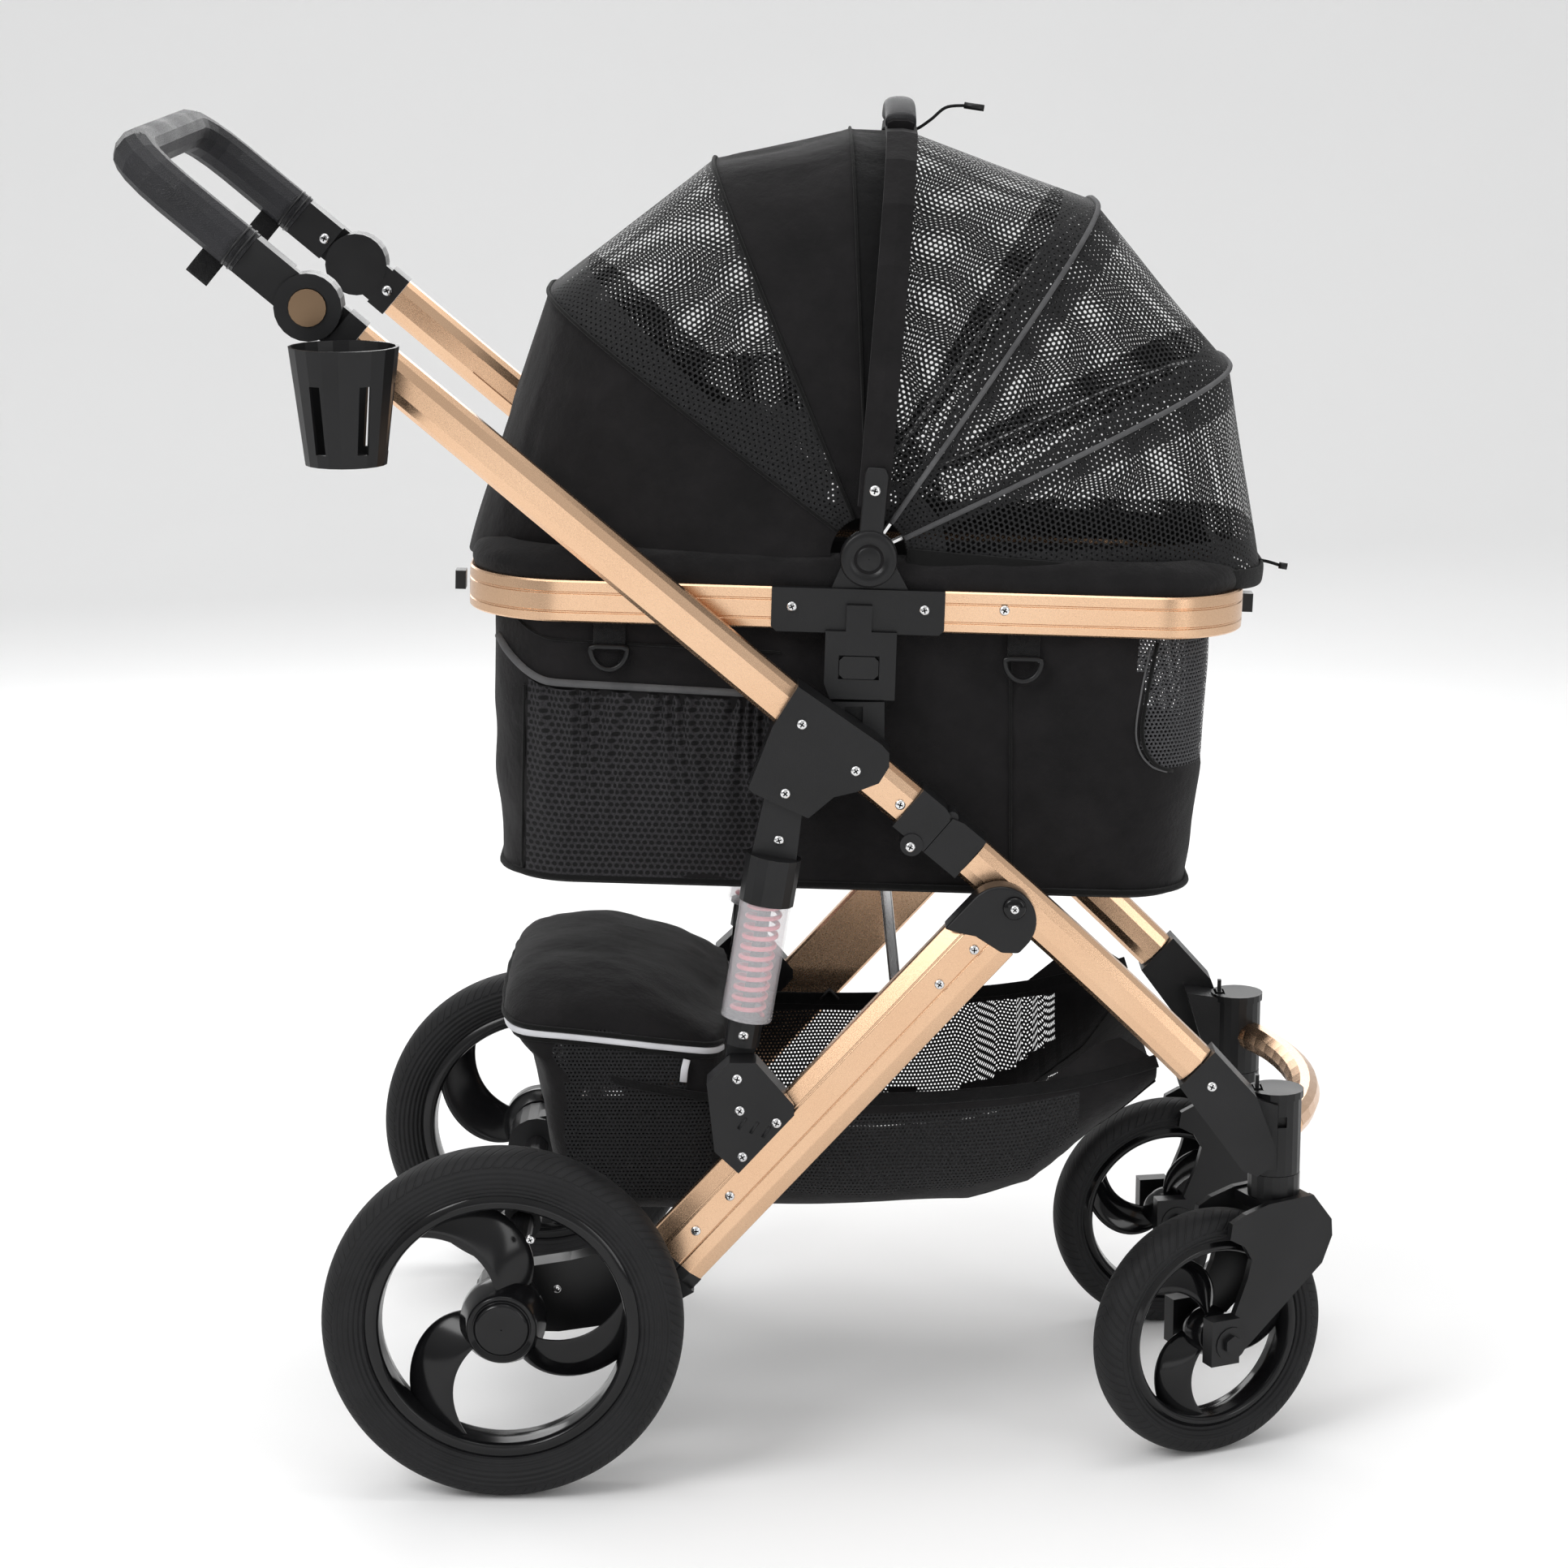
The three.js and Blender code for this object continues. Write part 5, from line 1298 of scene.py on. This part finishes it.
def zip_height(x):
    for (x0, z0), (x1, z1) in zip(ZIP_LINE, ZIP_LINE[1:]):
        if x0 <= x <= x1:
            return z0 + (z1 - z0) * (x - x0) / (x1 - x0)
    return 352 if x < ZIP_LINE[0][0] else ZIP_LINE[-1][1]


loop = smooth_path([(x, 0, z) for x, z in BAG], 130, closed=True)[:-1]
centre = Vector((-128, 0, 290))
verts, spot = [], []
STATIONS = 74
for i in range(STATIONS):
    t = -1 + 2 * i / (STATIONS - 1)
    angle = t * math.pi / 2 * 0.985
    y = math.copysign(abs(math.sin(angle)) ** 0.55, angle) * 151
    shrink = abs(math.cos(angle)) ** 0.24
    for p in loop:
        x = centre.x + (p.x - centre.x) * (0.30 + 0.70 * shrink) if shrink < 0.999 else p.x
        z = centre.z + (p.z - centre.z) * (0.30 + 0.70 * shrink) if shrink < 0.999 else p.z
        top = max(0.0, (z - 345) / 44)
        wave = noise.noise(Vector((x * 0.016, y * 0.018, z * 0.02)))
        small = noise.noise(Vector((x * 0.045, y * 0.05, z * 0.05 + 3)))
        sink = 4.5 * wave + 1.8 * small
        out = Vector((x - centre.x, 0, z - centre.z)).normalized()
        dip = 18 * (abs(y) / 154) ** 3 * top
        x2, z2 = x + out.x * sink * 0.8, z + out.z * sink * 0.8 - dip
        verts.append(pt(x2, y + 1.2 * small, z2))
        spot.append((x, y, z))
n_loop = len(loop)
faces = grid_faces(STATIONS, n_loop, close_cols=True)
faces += [tuple(range(n_loop)), tuple((STATIONS - 1) * n_loop + k for k in range(n_loop))[::-1]]


def opens_into_tray(face):
    """The low part of the front wall is open, so that the bag and the tray are one space."""
    x, y, z = (sum(spot[i][a] for i in face) / len(face) for a in range(3))
    return x > -48 and 208 < z < 290 and abs(y) < 140


faces = [f for f in faces if not opens_into_tray(f)]
index = []
for f in faces:
    x, y, z = (sum(spot[i][a] for i in f) / len(f) for a in range(3))
    lid = z > zip_height(x)
    net_side = -176 < x < -56 and 203 < z < zip_height(x) - 30 and abs(y) > 90
    rear_net = x < -150 and 205 < z < 290 and abs(y) < 110
    index.append(0 if lid or not (net_side or rear_net) else 1)
bag = build("bag_cloth", verts, faces, [FABRIC, BASKET_NET], "front_frame", True, None, index)
layer = bag.data.uv_layers.new(name="UVMap")
flat = []
for poly in bag.data.polygons:
    n = poly.normal
    for li in poly.loop_indices:
        v = bag.data.vertices[bag.data.loops[li].vertex_index].co
        flat.append((v.x, v.z) if abs(n.y) > 0.6 else ((v.y, v.z) if abs(n.x) > 0.6 else (v.x, v.y)))
layer.data.foreach_set("uv", np.array(flat, np.float32).ravel())
recalc(bag)
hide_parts("basket_bag")


BAG_TREE = BVHTree.FromPolygons([v.co.copy() for v in bag.data.vertices],
                                [tuple(p.vertices) for p in bag.data.polygons])


def bag_rail(offset=0.0, rise=0.0, count=130):
    """Runs on the bag's skin along one side, round the back and along the other side, under the lid."""
    centre = Vector((-118, 0))
    points = []
    for k in range(61):
        a = math.radians(-62 + -236 * k / 60)
        way = Vector((math.cos(a), math.sin(a)))
        reach = 330 * way
        z = 320 + 33 * min(1.0, max(0.0, (1 - (way.x * 1.25)) / 2.2)) ** 0.9 + rise
        start = pt(centre.x + reach.x, reach.y, z)
        hit = BAG_TREE.ray_cast(start, -Vector((way.x, way.y, 0)), 0.4)[0]
        if hit is not None:
            points.append(hit + Vector((way.x, way.y, 0)) * offset / 1000)
    return smooth_path(points, count)


modifier(bag, "SOLIDIFY", thickness=CLOTH, offset=-1)
tube("bag_zip", bag_rail(0.8), oval(0.0052, 0.0026, 12, 3), ZIP, "front_frame", up=(0, 0, 1))
tube("bag_zip_tape", bag_rail(0.4, -4.6), oval(0.0040, 0.0022, 10, 3), PIPING, "front_frame",
     up=(0, 0, 1))
tube("bag_piping", bag_rail(0.8, 5.0), 0.0021, PIPING, "front_frame")
for tag, side in SIDES:
    tube(f"zip_pull_{tag}", [pt(-78, side * 154.5, 324), pt(-80, side * 156, 316),
                             pt(-81, side * 156.5, 306)],
         oval(0.006, 0.0022, 10, 3), ZIP, "front_frame", up=(1, 0, 0))
    tube(f"bag_band_{tag}", [pt(*p) for p in smooth_path(
        [(-196, side * 132, 318), (-165, side * 146, 312), (-110, side * 152.5, 300), (-50, side * 152, 290)],
        30)],
        oval(0.007, 0.0016, 12, 4), SLEEVE, "front_frame", up=(0, 0, 1))

BOTTOM = [(-42, 200), (-20, 193), (60, 193), (150, 197), (200, 214), (262, 262), (300, 303)]


def along_line(line, x):
    for (x0, z0), (x1, z1) in zip(line, line[1:]):
        if x0 <= x <= x1:
            t = (x - x0) / (x1 - x0)
            return z0 + (z1 - z0) * t
    return line[-1][1]


def hem_height(x):
    sag = 4 * math.sin(math.pi * min(1, max(0, x / 200)))
    return 290 + 8 * max(0, x) / 200 + 20 * (max(0.0, x - 190) / 110) ** 1.6 - sag


rows, cols = 70, 96
verts, uv, spot = [], [], []
for i in range(rows):
    x = -42 + 342 * (i / (rows - 1)) ** 0.96
    hem_z = hem_height(x)
    low = min(along_line(BOTTOM, x), hem_z - 1.5)
    depth = hem_z - low
    half = 152
    corner = min(46, depth * 0.9)
    section = []
    for k in range(9):
        section.append((-half, hem_z - (depth - corner) * k / 8))
    for k in range(1, 15):
        a = math.pi / 2 * k / 14
        section.append((-half + corner * (1 - math.cos(a)), low + corner * (1 - math.sin(a))))
    section = section + [(0, low)] + [(-y, z) for y, z in section[::-1]]
    even = smooth_path([(0, y, z) for y, z in section], cols)
    run = 0.0
    for j, p in enumerate(even):
        run += (p - even[j - 1]).length if j else 0
        sag = 7 * (1 - (p.y / half) ** 2) * (depth / 90)
        soft = 3.0 * noise.noise(Vector((x * 0.013, p.y * 0.017, p.z * 0.02))) * min(1, depth / 60)
        verts.append(pt(x, p.y + 0.4 * soft, p.z - sag + soft))
        uv.append((x / 1000, run / 1000))
        spot.append((x, p.y, p.z, hem_z, low))
faces = grid_faces(rows, cols)
index = []
for f in faces:
    x, y, z, hem_z, low = (sum(spot[i][a] for i in f) / len(f) for a in range(5))
    solid = z > hem_z - 9 or x > 236 or x < -30 or (z < low + 16 and abs(y) > 100) or abs(y) < 96
    index.append(0 if solid else 1)
tray = build("tray_cloth", verts, faces, [FABRIC, BASKET_NET], "front_frame", True, uv, index)
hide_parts("basket_tray")
for tag, side in SIDES:
    hem_path = [pt(x, side * 152.5, hem_height(x) + 0.5) for x in [-42 + 342 * k / 40 for k in range(41)]]
    tube(f"tray_hem_{tag}", hem_path, oval(0.011, 0.0026, 14, 3), SLEEVE, "front_frame",
         up=(0, 0, 1))
    gusset_verts, gusset_uv = [], []
    for i in range(14):
        u = i / 13
        for j in range(14):
            w = j / 13
            a = Vector((205, hem_height(205))).lerp(Vector((300, hem_height(300))), u)
            b = Vector((250, 336)).lerp(Vector((270, 342)), u)
            p = a.lerp(b, w)
            puff = 2.5 * math.sin(math.pi * u) * math.sin(math.pi * w)
            gusset_verts.append(pt(p.x, side * (152 + puff), p.y))
            gusset_uv.append((p.x / 1000, p.y / 1000))
    gusset = build(f"tray_gusset_{tag}", gusset_verts, grid_faces(14, 14), FABRIC, "front_frame",
                   True, gusset_uv)
    recalc(gusset)
    x, z = 40, hem_height(40)
    tube(f"tray_loop_{tag}", [pt(x - 8, side * 152, z + 1), pt(x, side * 151, z + 9),
                              pt(x + 8, side * 152, z + 1)],
         oval(0.010, 0.0018, 10, 3), WEBBING, "front_frame", up=(0, 1, 0))

# ------------------------------------------------------------------ springs, clear sleeves, plate flutes


def joint_bodies(name):
    return JOINTS[name]["parent"], JOINTS[name]["child"]


for tag, side in SIDES:
    parent, child = joint_bodies(f"shock_travel_{tag}")
    y = side * SHOCK_Y

    def link_point(up, angle=0.0, radius=0.0):
        base = on_link(up, radius * math.cos(angle))
        return pt(base.x, y + radius * math.sin(angle), base.y)

    turns = 11
    coil = [link_point(45 + 92 * k / (turns * 22), 2 * math.pi * k / 22, 12.6) for k in range(turns * 22 + 1)]
    spring = tube(f"spring_{tag}", coil, 0.0019, SPRING, None, up=(LINK_UP.x, 0, LINK_UP.y))
    low_body, high_body = (child, parent) if "foot" in child else (parent, child)
    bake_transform(spring)
    sleeve = [(0.0200, 0.0), (0.0204, 0.0008), (0.0204, 0.0962), (0.0200, 0.0970), (0.0189, 0.0970),
              (0.0185, 0.0960),
              (0.0185, 0.0010), (0.0189, 0.0)]
    axis = link_point(100) - link_point(0)
    clear = lathe(f"clear_sleeve_{tag}", sleeve, link_point(42), axis, CLEAR, high_body, count=72, close=True)
    for k in range(7):
        a = Vector((-36 + k * 9.5, 286 - k * 3.5))
        b = a + Vector((6, 9))
        hit = outer_hit(a.x, a.y, side), outer_hit(b.x, b.y, side)
        if None in hit or not all(h[1].startswith("lower_plate") for h in hit):
            continue
        tube(f"flute_{tag}_{k}", [hit[0][0], hit[1][0]], oval(0.0026, 0.0016, 10, 3), BLACK,
             frame["nodes"][hit[0][1]]["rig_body"], up=(1, 0, 0))
    if side > 0:
        stay = [pt(84, 138, 440), pt(90, 139, 378), pt(98, 140, 300)]
        tube("tray_stay", smooth_path(stay, 12), oval(0.010, 0.0022, 12, 4), STEEL, "front_frame",
             up=(1, 0, 0))

# ------------------------------------------------------------------ handle: stitches and straps
ARM_Y = 178


def bar_point(out, y, rise=0.0):
    across = Vector((-BAR.y, BAR.x))
    p = HUB + BAR * out + across * rise
    return pt(p.x, y, p.y)


def bar_path(rise, near=70, count=80, push=0.0):
    """Along one arm, the crossbar and the other arm, above or below the grip's middle."""
    corner, end, half = 46, 178, ARM_Y
    bend = corner + push
    points = [bar_point(near, -half - push, rise), bar_point(end - corner, -half - push, rise)]
    for k in range(1, 9):
        a = math.pi / 2 * k / 8
        points.append(bar_point(end - corner + bend * math.sin(a), -half + corner - bend * math.cos(a), rise))
    points += [Vector((p.x, -p.y, p.z)) for p in points[::-1]]
    return smooth_path(points, count)


tube("grip_seam", bar_path(-16.4, 78, 110), 0.0009, BLACK, "handle_bar")
for k, shift in enumerate((-4.2, 4.2)):
    path = bar_path(-15.9, 78, 150, push=shift)
    verts, faces = [], []
    for a, b in zip(path[2:-2:2], path[3:-1:2]):
        d = (b - a).normalized()
        side_way = d.orthogonal().normalized()
        up_way = d.cross(side_way)
        base = len(verts)
        for p in (a, a.lerp(b, 0.8)):
            for q in range(4):
                ang = math.pi / 2 * q
                verts.append(p + (side_way * math.cos(ang) + up_way * math.sin(ang)) * 0.0005)
        faces += [(base + q, base + (q + 1) % 4, base + 4 + (q + 1) % 4, base + 4 + q) for q in range(4)]
    build(f"grip_stitches_{k}", verts, faces, BLACK, "handle_bar")
for tag, side in SIDES:
    verts, uv = [], []
    for i in range(10):
        for j in range(6):
            along, across = 70 + 20 * j / 5, i / 9
            drop = 15 + 25 * across
            curl = 2.0 * math.sin(across * 3)
            verts.append(bar_point(along, side * (ARM_Y - 6) - curl, drop))
            uv.append((along / 1000, across * 0.025))
    strap = build(f"grip_strap_{tag}", verts, grid_faces(10, 6), WEBBING, "handle_bar", True, uv)
    recalc(strap)
    modifier(strap, "SOLIDIFY", thickness=CLOTH, offset=0)
    for near in (66, 72):
        ring = [bar_point(near, side * ARM_Y + 19.5 * math.cos(a), 17.6 * math.sin(a))
                for a in [2 * math.pi * k / 40 for k in range(40)]]
        tube(f"grip_cuff_{near}_{tag}", ring, 0.0012, BLACK, "handle_bar", closed=True)

# ------------------------------------------------------------------ floor
sweep = [(-4.0, 0.0), (3.2, 0.0)]
turns = [math.pi / 2 * k / 24 for k in range(1, 25)]
sweep += [(3.2 + 2.4 * math.sin(a), 2.4 - 2.4 * math.cos(a)) for a in turns]
sweep += [(5.6, 9.0)]
verts = [(x, y, z) for x in (-11, 11) for y, z in sweep]
count = len(sweep)
floor_data = bpy.data.meshes.new("floor")
floor_data.from_pydata(verts, [], [(i, i + 1, count + i + 1, count + i) for i in range(count - 1)])
floor_data.polygons.foreach_set("use_smooth", [True] * (count - 1))
floor = bpy.data.objects.new("floor", floor_data)
scene.collection.objects.link(floor)
paper = Nodes("paper").set(Specular_IOR_Level=0.1)
paper_noise = paper.noise(paper.place(), 3, 2)
paper_color = paper.mix(paper_noise, (0.93, 0.93, 0.93), (0.95, 0.95, 0.95))
floor_data.materials.append(paper.finish(paper_color, paper.ramp(paper_noise, 0.3, 0.7, 0.85, 0.95)))
